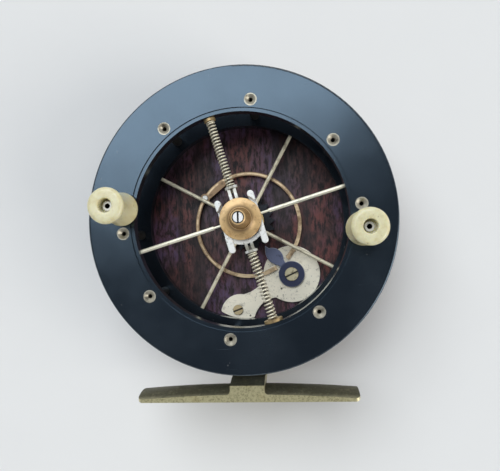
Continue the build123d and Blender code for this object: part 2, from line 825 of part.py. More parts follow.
def spoke_hole_through(angle):
    diameter = guide_rod_diameter + 2 * push_fit
    return spoke(angle, front_spoke_level, diameter, guide_rod_inner_reach, opening_radius)


# Release springs: one wire each, wound as tangent arcs of a quarter turn
def biarc(start, start_way, end, end_way):
    """Two arcs from start to end that leave and arrive along the given unit directions."""
    chord = end - start
    ways = start_way + end_way
    spread = 2 * (1 - start_way.dot(end_way))
    along = chord.dot(ways)
    reach = (sqrt(along**2 + spread * chord.dot(chord)) - along) / spread
    first, second = start + start_way * reach, end - end_way * reach
    middle = (first + second) * 0.5
    return [TangentArc(start, middle, tangent=start_way), TangentArc(middle, end, tangent=second - first)]


def wound_spring(diameter, wire, turns, length):
    """Compression spring up +Z from the origin, whose ends stand square on their seats."""
    radius = (diameter - wire) / 2
    up = Vector(0, 0, 1)
    end_rise = wire + spring_end_bend
    pitch = (length - 2 * end_rise) / turns
    rise = atan2(pitch, 2 * pi * radius)

    def on_helix(turn):
        angle = 2 * pi * turn
        return Vector(radius * cos(angle), radius * sin(angle), end_rise + pitch * turn)

    def heading(turn):
        angle = 2 * pi * turn
        return Vector(-sin(angle) * cos(rise), cos(angle) * cos(rise), sin(rise))

    bend_length = spring_end_bend * tan((pi / 2 - rise) / 2)
    first, last = on_helix(0), on_helix(turns)
    foot_point = first - (heading(0) + up) * bend_length
    head_point = last + (heading(turns) + up) * bend_length
    stand = Vector(foot_point.X, foot_point.Y, 0)
    rest = Vector(head_point.X, head_point.Y, length)
    edges = [Line(stand, foot_point), TangentArc(foot_point, first, tangent=up)]
    for half in range(2 * turns):
        here, there = half / 2, (half + 1) / 2
        edges += biarc(on_helix(here), heading(here), on_helix(there), heading(there))
    edges += [TangentArc(last, head_point, tangent=heading(turns)), Line(head_point, rest)]
    route = Wire([edge.edge() for edge in edges])
    print("spring gap", round(least_gap(edges, wire, 2 * pi * radius), 3))
    return sweep(Plane(stand, z_dir=up) * RegularPolygon(wire / 2, spring_wire_sides), path=route)


def least_gap(edges, wire, turn_length):
    """Least distance between the wire's surface and itself, past half a turn along the wire."""
    points, reach, travelled = [], [], 0.0
    for edge in edges:
        for share in (0.0, 0.25, 0.5, 0.75):
            points.append(edge @ share)
            reach.append(travelled + share * edge.length)
        travelled += edge.length
    least = turn_length
    for number, point in enumerate(points):
        for other in range(number + 1, min(number + 24, len(points))):
            if reach[other] - reach[number] > turn_length / 2:
                least = min(least, (points[other] - point).length)
    return least - wire


def seated_spring(angle, diameter, wire, turns):
    spring = wound_spring(diameter, wire, turns, seat_reach - collar_outer_reach)
    return Rot(0, 0, angle) * Pos(collar_outer_reach, 0, front_spoke_level) * Rot(0, 90, 0) * spring


# Cap and regulator screw
def hub_cap():
    rim, top = cap_diameter / 2, cap_level + cap_rim_thickness
    shoulder = rim - edge_break
    base, tip = boss_base_diameter / 2, boss_top_diameter / 2
    crown = top + cap_crown_rise
    end = crown + boss_height
    bead_top = (base - boss_bead / 2, crown + boss_bead / 2)
    screw_bore = regulator_diameter / 2 + running_fit
    screw_floor = end - regulator_length - sliding_gap
    spindle_bore = spindle_radius + side_gap
    spindle_roof = cap_level + spindle_end_rise + side_gap
    return turned(
        Polyline((spindle_bore, cap_level), (rim, cap_level), (rim, top - edge_break), (shoulder, top)),
        ThreePointArc((shoulder, top), ((rim + base) / 2, top + cap_crown_rise / 4), (base, crown)),
        ThreePointArc((base, crown), bead_top, (base - boss_bead, crown)),
        Polyline(
            (base - boss_bead, crown),
            (tip, end - boss_step),
            (tip - boss_step, end),
            (screw_bore + boss_mouth, end),
            (screw_bore, end - boss_mouth),
            (screw_bore, screw_floor),
            (0, screw_floor),
            (0, spindle_roof),
            (spindle_bore, spindle_roof),
            (spindle_bore, cap_level),
        ),
    )


def regulator_screw():
    end = cap_level + cap_rim_thickness + cap_crown_rise + boss_height
    screw = broken(peg((0, 0), regulator_diameter, end - regulator_length, end))
    width, depth = regulator_slot_width, regulator_slot_depth
    return screw - slotted_head((0, 0), end, width, depth, regulator_diameter, regulator_slot_angle)


# Handles: bobbins that spin on hollow pins riveted through the front flange
def handle_levels():
    base = front_face + handle_washer_thickness + sliding_gap
    return base, base + handle_height


def handle_pin(fit=0.0):
    """One pin, or with a fit the space that it takes in the flange."""
    base, top = handle_levels()
    floor = top - handle_counterbore_depth
    shank = handle_pin_diameter / 2 + fit
    flare = eyelet_diameter / 2 + fit
    head = handle_pin_head_diameter / 2
    head_low = floor + sliding_gap
    head_top = head_low + handle_pin_head_thickness
    pin = lathe(
        (0, front_flange_rear),
        (flare, front_flange_rear),
        (shank, front_flange_rear + eyelet_depth),
        (shank, head_low),
        (head, head_low),
        (head, head_top - edge_break),
        (head - edge_break, head_top),
        (0, head_top),
    )
    return pin - peg((0, 0), handle_pin_bore, head_top - handle_pin_bore_depth, head_top)


def handle():
    base, top = handle_levels()
    edge = handle_edge_radius
    low, high = handle_base_diameter / 2, handle_top_diameter / 2
    waist = (handle_waist_diameter / 2, (base + top) / 2)
    bore = handle_pin_diameter / 2 + running_fit
    counterbore = handle_counterbore_diameter / 2
    floor = top - handle_counterbore_depth
    return turned(
        Polyline((bore, base), (low - edge, base)),
        RadiusArc((low - edge, base), (low, base + edge), -edge),
        Polyline((low, base + edge), (low, base + handle_lip)),
        ThreePointArc((low, base + handle_lip), waist, (high, top - handle_lip)),
        Polyline((high, top - handle_lip), (high, top - edge)),
        RadiusArc((high, top - edge), (high - edge, top), -edge),
        Polyline((high - edge, top), (counterbore, top), (counterbore, floor), (bore, floor), (bore, base)),
    )


def handle_washer():
    bore = handle_pin_diameter / 2 + push_fit
    outer = handle_washer_diameter / 2
    top = front_face + handle_washer_thickness
    return broken(lathe((bore, front_face), (outer, front_face), (outer, top), (bore, top)))


write("back_plate", back_plate())
write("star_back", star_back())
write("star_screws", *star_screws())
write("foot", foot())
write("spindle", spindle())
write("check_plate", check_plate())
write("check_pivot_screw", headed_screw(
    check_pivot, check_pivot_diameter, check_pivot_head_diameter,
    wood_face - check_pivot_depth, check_plate_top + sliding_gap, check_pivot_slot_angle))
write("pawl_screw", headed_screw(
    pawl_pivot, pawl_pivot_diameter, pawl_screw_head_diameter,
    wood_face, pawl_level + pawl_thickness + sliding_gap, pawl_screw_slot_angle))
write("check_button", check_button())
write("pawl", pawl())
write("check_spring", check_spring())
write("check_spring_pin", check_spring_pin())
write("front_flange", front_flange())
write("back_flange", back_flange())
write("pillars", *[around(pillar(), angle, pillar_radius) for angle in pillar_angles()])
write("hub", hub())
write("hub_bushes", *hub_bushes())
write("ratchet_wheel", ratchet_wheel())
write("front_spokes", *front_spokes())
write("back_spokes", *back_spokes())
write("top_release_fork", top_release_fork())
write("bottom_release_fork", bottom_release_fork())
write("guide_rods", *guide_rods())
write("spring_seats", *spring_seats())
write("top_release_spring", seated_spring(
    guide_angles()[0], top_spring_diameter, top_spring_wire, top_spring_turns))
write("bottom_release_spring", seated_spring(
    guide_angles()[1], bottom_spring_diameter, bottom_spring_wire, bottom_spring_turns))
write("hub_cap", hub_cap())
write("regulator_screw", regulator_screw())
write("handle_pins", *[around(handle_pin(), angle, pillar_radius) for angle in handle_angles])
write("handle_washers", *[around(handle_washer(), angle, pillar_radius) for angle in handle_angles])
write("right_handle", around(handle(), handle_angles[0], pillar_radius))
write("left_handle", around(handle(), handle_angles[1], pillar_radius))
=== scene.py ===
import bpy
import bmesh
from math import atan2, cos, degrees, pi, radians, sin
from mathutils import Matrix, Vector


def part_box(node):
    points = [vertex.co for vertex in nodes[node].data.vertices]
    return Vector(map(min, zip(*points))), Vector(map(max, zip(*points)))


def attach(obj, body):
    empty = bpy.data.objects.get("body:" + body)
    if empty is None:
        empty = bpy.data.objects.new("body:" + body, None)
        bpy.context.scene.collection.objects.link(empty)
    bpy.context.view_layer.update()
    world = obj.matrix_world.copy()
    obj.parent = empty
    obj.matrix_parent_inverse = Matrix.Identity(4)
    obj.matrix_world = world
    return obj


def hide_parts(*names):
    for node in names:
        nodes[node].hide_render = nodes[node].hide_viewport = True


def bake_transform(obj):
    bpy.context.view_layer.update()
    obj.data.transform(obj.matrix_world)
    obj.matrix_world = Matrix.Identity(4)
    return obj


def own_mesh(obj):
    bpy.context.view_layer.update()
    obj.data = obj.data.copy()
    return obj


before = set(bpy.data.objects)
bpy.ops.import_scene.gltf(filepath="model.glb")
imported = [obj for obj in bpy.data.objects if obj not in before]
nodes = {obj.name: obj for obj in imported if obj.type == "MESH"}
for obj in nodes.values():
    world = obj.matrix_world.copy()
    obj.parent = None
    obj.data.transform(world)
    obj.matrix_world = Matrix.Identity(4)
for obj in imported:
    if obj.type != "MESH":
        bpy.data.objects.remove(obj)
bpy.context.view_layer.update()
scene = bpy.context.scene
scene.view_settings.view_transform = "Standard"
mm = 0.001  # sizes in the dictionaries are in mm and angles in degrees, where nothing else is said
releaseAngle = 106.1  # both release rods lie on this line through the spindle
print("frame loaded:", len(nodes), "nodes")


def towards(angle):
    return Vector((cos(radians(angle)), sin(radians(angle)), 0))


def corners(node):
    return [Vector(corner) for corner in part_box(node)]


def addPiece(name, shape, finish):
    mesh = bpy.data.meshes.new(name)
    shape.to_mesh(mesh)
    shape.free()
    mesh.materials.append(finish)
    piece = bpy.data.objects.new(name, mesh)
    scene.collection.objects.link(piece)
    return piece


# small helpers for node trees

def put(tree, kind, **values):
    node = tree.nodes.new(kind)
    for name, value in values.items():
        setattr(node, name, value)
    return node


def feed(tree, source, socket):
    if isinstance(source, bpy.types.NodeSocket):
        tree.links.new(source, socket)
    else:
        socket.default_value = (*source, 1.0) if socket.type == "RGBA" else source


def mathNode(tree, operation, first, second=0.0, third=0.0):
    node = put(tree, "ShaderNodeMath", operation=operation)
    for socket, value in zip(node.inputs, (first, second, third)):
        feed(tree, value, socket)
    return node.outputs[0]


def times(tree, first, second):
    return mathNode(tree, "MULTIPLY", first, second)


def timesPlus(tree, first, second, base):
    return mathNode(tree, "MULTIPLY_ADD", first, second, base)


def strongest(tree, *masks):
    result = masks[0]
    for mask in masks[1:]:
        result = mathNode(tree, "MAXIMUM", result, mask)
    return result


def blendColors(tree, mask, first, second):
    node = put(tree, "ShaderNodeMix", data_type="RGBA", clamp_result=True)
    feed(tree, mask, node.inputs["Factor"])
    feed(tree, first, node.inputs[6])
    feed(tree, second, node.inputs[7])
    return node.outputs[2]


def remap(tree, value, low, high, toLow=0.0, toHigh=1.0):
    node = put(tree, "ShaderNodeMapRange", interpolation_type="SMOOTHSTEP")
    for socket, item in zip(node.inputs, (value, low, high, toLow, toHigh)):
        feed(tree, item, socket)
    return node.outputs[0]


def noiseField(tree, vector, scale, detail, rough=0.55):
    node = put(tree, "ShaderNodeTexNoise")
    feed(tree, vector, node.inputs["Vector"])
    feed(tree, scale, node.inputs["Scale"])
    feed(tree, detail, node.inputs["Detail"])
    feed(tree, rough, node.inputs["Roughness"])
    return node.outputs["Fac"]


def objectSpace(tree, scale=(1.0, 1.0, 1.0), turn=(0.0, 0.0, 0.0), shift=(0.0, 0.0, 0.0)):
    coords = put(tree, "ShaderNodeTexCoord")
    mapping = put(tree, "ShaderNodeMapping")
    tree.links.new(coords.outputs["Object"], mapping.inputs["Vector"])
    mapping.inputs["Scale"].default_value = scale
    mapping.inputs["Rotation"].default_value = turn
    mapping.inputs["Location"].default_value = shift
    return mapping.outputs["Vector"]


def objectHeight(tree):
    axes = put(tree, "ShaderNodeSeparateXYZ")
    feed(tree, objectSpace(tree), axes.inputs[0])
    return axes.outputs["Z"]


def facing(tree, axis):
    coords = put(tree, "ShaderNodeTexCoord")
    slope = put(tree, "ShaderNodeSeparateXYZ")
    feed(tree, coords.outputs["Normal"], slope.inputs[0])
    return slope.outputs[axis]


def distanceAlong(tree, direction):
    dot = put(tree, "ShaderNodeVectorMath", operation="DOT_PRODUCT")
    feed(tree, objectSpace(tree), dot.inputs[0])
    feed(tree, direction, dot.inputs[1])
    return dot.outputs["Value"]


def radiusFrom(tree, centre=(0.0, 0.0, 0.0)):
    offset = put(tree, "ShaderNodeVectorMath", operation="SUBTRACT")
    feed(tree, objectSpace(tree), offset.inputs[0])
    feed(tree, centre, offset.inputs[1])
    flat = put(tree, "ShaderNodeVectorMath", operation="MULTIPLY")
    feed(tree, offset.outputs[0], flat.inputs[0])
    feed(tree, (1.0, 1.0, 0.0), flat.inputs[1])
    length = put(tree, "ShaderNodeVectorMath", operation="LENGTH")
    feed(tree, flat.outputs[0], length.inputs[0])
    return length.outputs["Value"]


# shared effects, each a node group

def startGroup(name, inputs, outputs):
    group = bpy.data.node_groups.new(name, "ShaderNodeTree")
    for label, value in inputs.items():
        kind = "NodeSocketColor" if isinstance(value, tuple) else "NodeSocketFloat"
        group.interface.new_socket(label, in_out="INPUT", socket_type=kind).default_value = value
    for label in outputs:
        kind = "NodeSocketColor" if label == "Color" else "NodeSocketFloat"
        group.interface.new_socket(label, in_out="OUTPUT", socket_type=kind)
    return group, put(group, "NodeGroupInput").outputs, put(group, "NodeGroupOutput").inputs


# noises are (scale, detail, roughness), ranges (from, to) or (from, to, result at from, result at to)

tarnishMarks = {"patchDetail": 5.0, "patchRough": 0.5, "patchShare": 0.95, "speckNoise": (2600.0, 2.0),
                "speckShare": 0.2, "limit": 0.86, "limitPerAmount": 0.5, "soften": 0.22}


def makeTarnish():
    marks = tarnishMarks
    group, got, out = startGroup(
        "tarnishPatches",
        {"Clean": (0.7, 0.6, 0.35, 1.0), "Dull": (0.3, 0.24, 0.12, 1.0), "Amount": 0.5, "Patch Size": 300.0,
         "Polish": 0.25, "Haze": 0.5},
        ["Color", "Roughness"])
    place = objectSpace(group)
    patches = noiseField(group, place, got["Patch Size"], marks["patchDetail"], marks["patchRough"])
    specks = noiseField(group, place, *marks["speckNoise"])
    mixed = timesPlus(group, specks, marks["speckShare"], times(group, patches, marks["patchShare"]))
    start = mathNode(group, "SUBTRACT", marks["limit"], times(group, got["Amount"], marks["limitPerAmount"]))
    mask = remap(group, mixed, start, mathNode(group, "ADD", start, marks["soften"]))
    feed(group, blendColors(group, mask, got["Clean"], got["Dull"]), out["Color"])
    span = mathNode(group, "SUBTRACT", got["Haze"], got["Polish"])
    feed(group, timesPlus(group, mask, span, got["Polish"]), out["Roughness"])
    return group


dustMarks = {"dot": (0.08, 0.2, 1.0, 0.0), "driftNoise": (240.0, 2.0), "limit": 0.75, "limitPerAmount": 0.4,
             "soften": 0.1}


def makeDust():
    marks = dustMarks
    group, got, out = startGroup("dustSpecks", {"Spacing": 700.0, "Amount": 0.4}, ["Mask"])
    place = objectSpace(group)
    cells = put(group, "ShaderNodeTexVoronoi", feature="F1")
    feed(group, place, cells.inputs["Vector"])
    feed(group, got["Spacing"], cells.inputs["Scale"])
    dots = remap(group, cells.outputs["Distance"], *marks["dot"])
    drift = noiseField(group, place, *marks["driftNoise"])
    limit = mathNode(group, "SUBTRACT", marks["limit"], times(group, got["Amount"], marks["limitPerAmount"]))
    kept = remap(group, drift, limit, mathNode(group, "ADD", limit, marks["soften"]))
    feed(group, times(group, dots, kept), out["Mask"])
    return group


slotMarks = {"raggedNoise": (1800.0, 2.0), "ragged": 0.5, "leastReach": 0.75, "fullFrom": 0.4}


# painted shade with dirt: a mask that darkens everything below a level, down into slots and bores
def makeSlotShadeAndDirt():
    marks = slotMarks
    group, got, out = startGroup("slotShadeAndDirt", {"Level": 0.0, "Depth": 0.0004}, ["Mask"])
    uneven = noiseField(group, objectSpace(group), *marks["raggedNoise"])
    reach = times(group, got["Depth"], timesPlus(group, uneven, marks["ragged"], marks["leastReach"]))
    start = mathNode(group, "SUBTRACT", got["Level"], reach)
    finish = mathNode(group, "SUBTRACT", got["Level"], times(group, reach, marks["fullFrom"]))
    feed(group, remap(group, objectHeight(group), start, finish, 1.0, 0.0), out["Mask"])
    return group


edgeMarks = {"steep": (0.3, 0.5), "level": (0.86, 0.96, 1.0, 0.0), "wearNoise": (420.0, 3.0),
             "wearRange": (0.3, 0.55, 0.25, 1.0)}


# rubbed wear with painted highlight: lighter colour on chamfer facets, found by how steeply they face
def makeRubbedEdgesAndHighlights():
    marks = edgeMarks
    group, got, out = startGroup("rubbedEdgesAndHighlights", {"WearAndHighlight": 0.8}, ["Mask"])
    tilt = mathNode(group, "ABSOLUTE", facing(group, "Z"))
    chamfer = times(group, remap(group, tilt, *marks["steep"]), remap(group, tilt, *marks["level"]))
    uneven = remap(group, noiseField(group, objectSpace(group), *marks["wearNoise"]), *marks["wearRange"])
    feed(group, times(group, times(group, chamfer, uneven), got["WearAndHighlight"]), out["Mask"])
    return group


ringMarks = {"driftNoise": (60.0, 1.0), "drift": 6.0, "patchNoise": (220.0, 2.0)}


def makeLatheRings():
    marks = ringMarks
    group, got, out = startGroup("latheRings", {"Pitch": 9000.0}, ["Height", "Radius"])
    place = objectSpace(group)
    radius = radiusFrom(group)
    drift = noiseField(group, place, *marks["driftNoise"])
    phase = timesPlus(group, drift, marks["drift"], times(group, radius, got["Pitch"]))
    patchy = noiseField(group, place, *marks["patchNoise"])
    feed(group, times(group, mathNode(group, "SINE", phase), patchy), out["Height"])
    feed(group, radius, out["Radius"])
    return group


# the turns are in radians

scratchMarks = {"turns": (0.4, 1.5, 2.5), "stretch": (1.0, 34.0, 1.0), "detail": 2.0, "rough": 0.5,
                "limit": 0.84, "limitPerDensity": 0.2, "soften": 0.05}


def makeScratches():
    marks = scratchMarks
    group, got, out = startGroup("fineScratches", {"Length": 40.0, "Density": 0.5}, ["Mask"])
    share = times(group, got["Density"], marks["limitPerDensity"])
    limit = mathNode(group, "SUBTRACT", marks["limit"], share)
    hits = []
    for turn in marks["turns"]:
        place = objectSpace(group, marks["stretch"], (0.0, 0.0, turn))
        field = noiseField(group, place, got["Length"], marks["detail"], marks["rough"])
        hits.append(remap(group, field, limit, mathNode(group, "ADD", limit, marks["soften"])))
    feed(group, strongest(group, *hits), out["Mask"])
    return group


effects = {"tarnish": makeTarnish(), "rings": makeLatheRings(), "scratches": makeScratches(),
           "dust": makeDust(), "slotShadeAndDirt": makeSlotShadeAndDirt(), "edges": makeRubbedEdgesAndHighlights()}
print("effect groups:", len(effects))


def startMaterial(name):
    material = bpy.data.materials.new(name)
    material.use_nodes = True
    tree = material.node_tree
    tree.nodes.clear()
    shader = put(tree, "ShaderNodeBsdfPrincipled")
    output = put(tree, "ShaderNodeOutputMaterial")
    tree.links.new(shader.outputs["BSDF"], output.inputs["Surface"])
    return material, tree, shader.inputs


def effect(tree, name, values):
    node = put(tree, "ShaderNodeGroup", node_tree=effects[name])
    for label, value in values.items():
        feed(tree, value, node.inputs[label])
    return node.outputs


def tarnished(tree, look, clean, dull):
    values = {"Clean": look[clean], "Dull": look[dull], "Amount": look["amount"], "Patch Size": look["patch"],
              "Polish": look["polish"], "Haze": look["haze"]}
    return effect(tree, "tarnish", values)


def scratchMask(tree, length, density):
    return effect(tree, "scratches", {"Length": length, "Density": density})["Mask"]


def speckMask(tree, spacing, amount):
    return effect(tree, "dust", {"Spacing": spacing, "Amount": amount})["Mask"]


def edgeWearAndHighlightMask(tree, wearWithHighlight):
    return effect(tree, "edges", {"WearAndHighlight": wearWithHighlight})["Mask"]


def bumpFrom(tree, height, strength, distance):
    bump = put(tree, "ShaderNodeBump")
    feed(tree, height, bump.inputs["Height"])
    bump.inputs["Strength"].default_value = strength
    bump.inputs["Distance"].default_value = distance
    return bump.outputs["Normal"]


# plain metals, each with its own tarnish
# scratches are (length, density), specks and pits (spacing, amount), bumps (strength, depth in metres)

metalWear = {"patch": 300.0, "scratches": (60.0, 0.35), "scratchShare": 0.3, "scratchDull": 0.1,
             "specks": (780.0, 0.72), "smearNoise": (620.0, 5.0, 0.7), "smear": (0.55, 0.72, 0.0, 0.75),
             "tailSoft": 0.9, "tailFade": 1.35, "tailShare": 0.8, "edgeWearAndHighlight": 0.8,
             "grainNoise": (3500.0, 2.0), "bump": (0.12, 0.00004)}
metals = {
    "hubBrass": {"clean": (0.62, 0.46, 0.22), "dull": (0.28, 0.19, 0.08), "amount": 0.5,
                 "metallic": 0.8, "polish": 0.4, "haze": 0.58},
    "starBrass": {"clean": (0.60, 0.46, 0.23), "dull": (0.36, 0.27, 0.12), "amount": 0.5,
                  "metallic": 0.75, "polish": 0.38, "haze": 0.54, "patch": 110.0, "rubAndHighlight": (0.78, 0.64, 0.36)},
    "seatBronze": {"clean": (0.46, 0.33, 0.16), "dull": (0.17, 0.115, 0.06), "amount": 0.55,
                   "metallic": 0.6, "polish": 0.42, "haze": 0.6},
    "forkNickel": {"clean": (0.76, 0.76, 0.73), "dull": (0.46, 0.45, 0.39), "amount": 0.42,
                   "metallic": 0.4, "polish": 0.44, "haze": 0.58, "grime": (0.13, 0.12, 0.09),
                   "rubAndHighlight": (0.86, 0.86, 0.84), "tail": (0.33, 0.31, 0.235), "tailHalf": 2.9, "tailStart": 8.0},
    "spokeNickel": {"clean": (0.86, 0.82, 0.66), "dull": (0.40, 0.34, 0.22), "amount": 0.46,
                    "metallic": 0.4, "polish": 0.4, "haze": 0.54},
    "backSpokeNickel": {"clean": (0.70, 0.64, 0.48), "dull": (0.27, 0.22, 0.14), "amount": 0.52,
                        "metallic": 0.4, "polish": 0.42, "haze": 0.56},
    "rivetNickel": {"clean": (0.42, 0.39, 0.31), "dull": (0.11, 0.095, 0.07), "amount": 0.56,
                    "metallic": 0.6, "polish": 0.38, "haze": 0.6, "shank": (0.030, 0.028, 0.024),
                    "grime": (0.025, 0.022, 0.017)},
    "rodSteel": {"clean": (0.20, 0.18, 0.15), "dull": (0.08, 0.07, 0.055), "amount": 0.45,
                 "metallic": 0.7, "polish": 0.36, "haze": 0.52},
    "springWire": {"clean": (0.74, 0.69, 0.54), "dull": (0.28, 0.23, 0.15), "amount": 0.45,
                   "metallic": 0.55, "polish": 0.36, "haze": 0.52},
    "ratchetSteel": {"clean": (0.022, 0.024, 0.030), "dull": (0.010, 0.010, 0.012), "amount": 0.5,
                     "metallic": 0.8, "polish": 0.42, "haze": 0.6},
}


def makeMetal(name, own):
    look = {**metalWear, **own}
    material, tree, into = startMaterial(name)
    aged = tarnished(tree, look, "clean", "dull")
    marks = scratchMask(tree, *look["scratches"])
    tone = blendColors(tree, times(tree, marks, look["scratchShare"]), aged["Color"], look["dull"])
    if "grime" in look:
        smear = remap(tree, noiseField(tree, objectSpace(tree), *look["smearNoise"]), *look["smear"])
        soiled = strongest(tree, speckMask(tree, *look["specks"]), smear)
        tone = blendColors(tree, soiled, tone, look["grime"])
    # painted shade: the pillar shanks go dark below the front flange's face, inside the drum
    if "shank" in look:  # darker below the front face
        low, high = corners("front_flange")
        inside = remap(tree, objectHeight(tree), low.z, high.z, 1.0, 0.0)
        tone = blendColors(tree, inside, tone, look["shank"])
    if "tail" in look:  # darker where the legs leave the hub
        half, start = look["tailHalf"] * mm, look["tailStart"] * mm
        aside = mathNode(tree, "ABSOLUTE", distanceAlong(tree, towards(releaseAngle + 90)))
        onTail = remap(tree, aside, half * look["tailSoft"], half, 1.0, 0.0)
        outer = remap(tree, radiusFrom(tree), start, start * look["tailFade"], 0.0, look["tailShare"])
        tone = blendColors(tree, times(tree, onTail, outer), tone, look["tail"])
    # rubbed wear with painted highlight on the chamfered edges
    if "rubAndHighlight" in look:
        tone = blendColors(tree, edgeWearAndHighlightMask(tree, look["edgeWearAndHighlight"]), tone, look["rubAndHighlight"])
    feed(tree, tone, into["Base Color"])
    feed(tree, timesPlus(tree, marks, look["scratchDull"], aged["Roughness"]), into["Roughness"])
    feed(tree, look["metallic"], into["Metallic"])
    grain = noiseField(tree, objectSpace(tree), *look["grainNoise"])
    feed(tree, bumpFrom(tree, grain, *look["bump"]), into["Normal"])
    return material


# slotted screws and hollow pins: bright on top, with painted shade and old dirt darkening the slot or bore
# the depth of that darkening is measured from the head, and is below zero for heads at the rear

# near-black colour for painted shade with dirt in slots, bores and the gap round the regulator screw
slotShadeAndDirt = (0.020, 0.017, 0.012)
screwWear = {"amount": 0.42, "patch": 500.0, "polish": 0.4, "haze": 0.56, "metallic": 0.5, "dirtRough": 0.3}
screws = {
    "regulator_screw": {"clean": (0.74, 0.73, 0.71), "dull": (0.50, 0.48, 0.43), "dirtDepth": 0.35},
    "check_pivot_screw": {"clean": (0.58, 0.46, 0.26), "dull": (0.24, 0.17, 0.08), "dirtDepth": 0.3},
    "pawl_screw": {"clean": (0.56, 0.50, 0.33), "dull": (0.10, 0.085, 0.04), "dirtDepth": 0.3,
                   "amount": 0.62},
    "handle_pins": {"clean": (0.62, 0.60, 0.54), "dull": (0.32, 0.29, 0.23), "dirtDepth": 0.5},
    "check_spring_pin": {"clean": (0.66, 0.65, 0.61), "dull": (0.38, 0.36, 0.31), "dirtDepth": 1.2},
    "star_screws": {"clean": (0.66, 0.58, 0.36), "dull": (0.30, 0.24, 0.13), "dirtDepth": -0.4,
                    "metallic": 0.7},
}


def makeScrewMetal(node, own):
    look = {**screwWear, **own}
    material, tree, into = startMaterial(node + "Metal")
    aged = tarnished(tree, look, "clean", "dull")
    low, high = corners(node)
    level = high.z if look["dirtDepth"] > 0 else low.z
    # painted shade with dirt in the slot or bore
    dirt = effect(tree, "slotShadeAndDirt", {"Level": level, "Depth": look["dirtDepth"] * mm})["Mask"]
    feed(tree, blendColors(tree, dirt, aged["Color"], slotShadeAndDirt), into["Base Color"])
    feed(tree, timesPlus(tree, dirt, look["dirtRough"], aged["Roughness"]), into["Roughness"])
    feed(tree, timesPlus(tree, dirt, -look["metallic"], look["metallic"]), into["Metallic"])
    return material


# drum flanges: polished hard rubber, nearly black, its reflections tinted blue to paint in sky light

flangeFinish = {"black": (0.0045, 0.0055, 0.0075), "worn": (0.010, 0.011, 0.013),
                "scratch": (0.045, 0.048, 0.052), "dust": (0.16, 0.16, 0.15), "skyReflectionTint": (0.57, 0.79, 1.0),
                "polish": 0.2, "dull": 0.28, "ringPitch": 16000.0, "scratches": (34.0, 0.42),
                "specks": (520.0, 0.35), "hazeNoise": (38.0, 3.0), "hazeRange": (0.35, 0.75),
                "hazeShare": 0.5, "scratchShare": 0.3, "speckShare": 0.4, "scratchDull": 0.08,
                "ior": 1.6, "specular": 0.84, "bump": (0.08, 0.00003)}


def makeEbonite():
    look = flangeFinish
    material, tree, into = startMaterial("ebonite")
    rings = effect(tree, "rings", {"Pitch": look["ringPitch"]})
    marks = scratchMask(tree, *look["scratches"])
    specks = speckMask(tree, *look["specks"])
    haze = remap(tree, noiseField(tree, objectSpace(tree), *look["hazeNoise"]), *look["hazeRange"])
    tone = blendColors(tree, times(tree, haze, look["hazeShare"]), look["black"], look["worn"])
    tone = blendColors(tree, times(tree, marks, look["scratchShare"]), tone, look["scratch"])
    tone = blendColors(tree, times(tree, specks, look["speckShare"]), tone, look["dust"])
    feed(tree, tone, into["Base Color"])
    rough = timesPlus(tree, haze, look["dull"] - look["polish"], look["polish"])
    feed(tree, timesPlus(tree, marks, look["scratchDull"], rough), into["Roughness"])
    feed(tree, look["ior"], into["IOR"])
    feed(tree, look["specular"], into["Specular IOR Level"])
    # painted reflection colour: the specular tint makes the black rubber reflect blue, in place of sky light
    feed(tree, look["skyReflectionTint"], into["Specular Tint"])
    feed(tree, bumpFrom(tree, rings["Height"], *look["bump"]), into["Normal"])
    return material


# back plate: dark red hardwood, grain from foot to top; where the drum covers it, purple patches that are
# partly old varnish and partly a painted sky reflection

woodFinish = {"early": (0.090, 0.036, 0.035), "late": (0.013, 0.007, 0.008), "red": (0.185, 0.050, 0.042),
              "purpleAndSkyReflection": (0.092, 0.060, 0.132), "flecks": (0.005, 0.004, 0.006), "gloss": 0.38, "matt": 0.58,
              "specular": 0.4, "bump": (0.35, 0.00012), "wellRadius": 46.0, "wellFloor": 8.0,
              "wellSoft": 0.9, "floorSoft": 0.8,
              "grain": (420.0, 16.0, 420.0), "mottle": (620.0, 190.0, 160.0), "bands": (130.0, 7.0, 40.0),
              "pores": (1900.0, 130.0, 600.0), "warm": (75.0, 42.0, 40.0), "cool": (70.0, 40.0, 40.0),
              "coolShift": (3.1, 1.7, 0.4), "grainNoise": (1.0, 5.0, 0.65), "mottleNoise": (1.0, 5.0, 0.7),
              "poreNoise": (1.0, 2.0), "broadNoise": (1.0, 3.0),
              "wornRange": (0.4, 0.62), "figureRange": (0.38, 0.62),
              "warmRange": (0.46, 0.64, 0.0, 0.85), "coolRange": (0.44, 0.62, 0.0, 0.85),
              "bandRange": (0.5, 0.66, 0.0, 0.65), "poreRange": (0.6, 0.7, 0.0, 0.85),
              "poreDepth": (0.58, 0.7, 0.0, -1.0), "glossRange": (0.3, 0.7)}


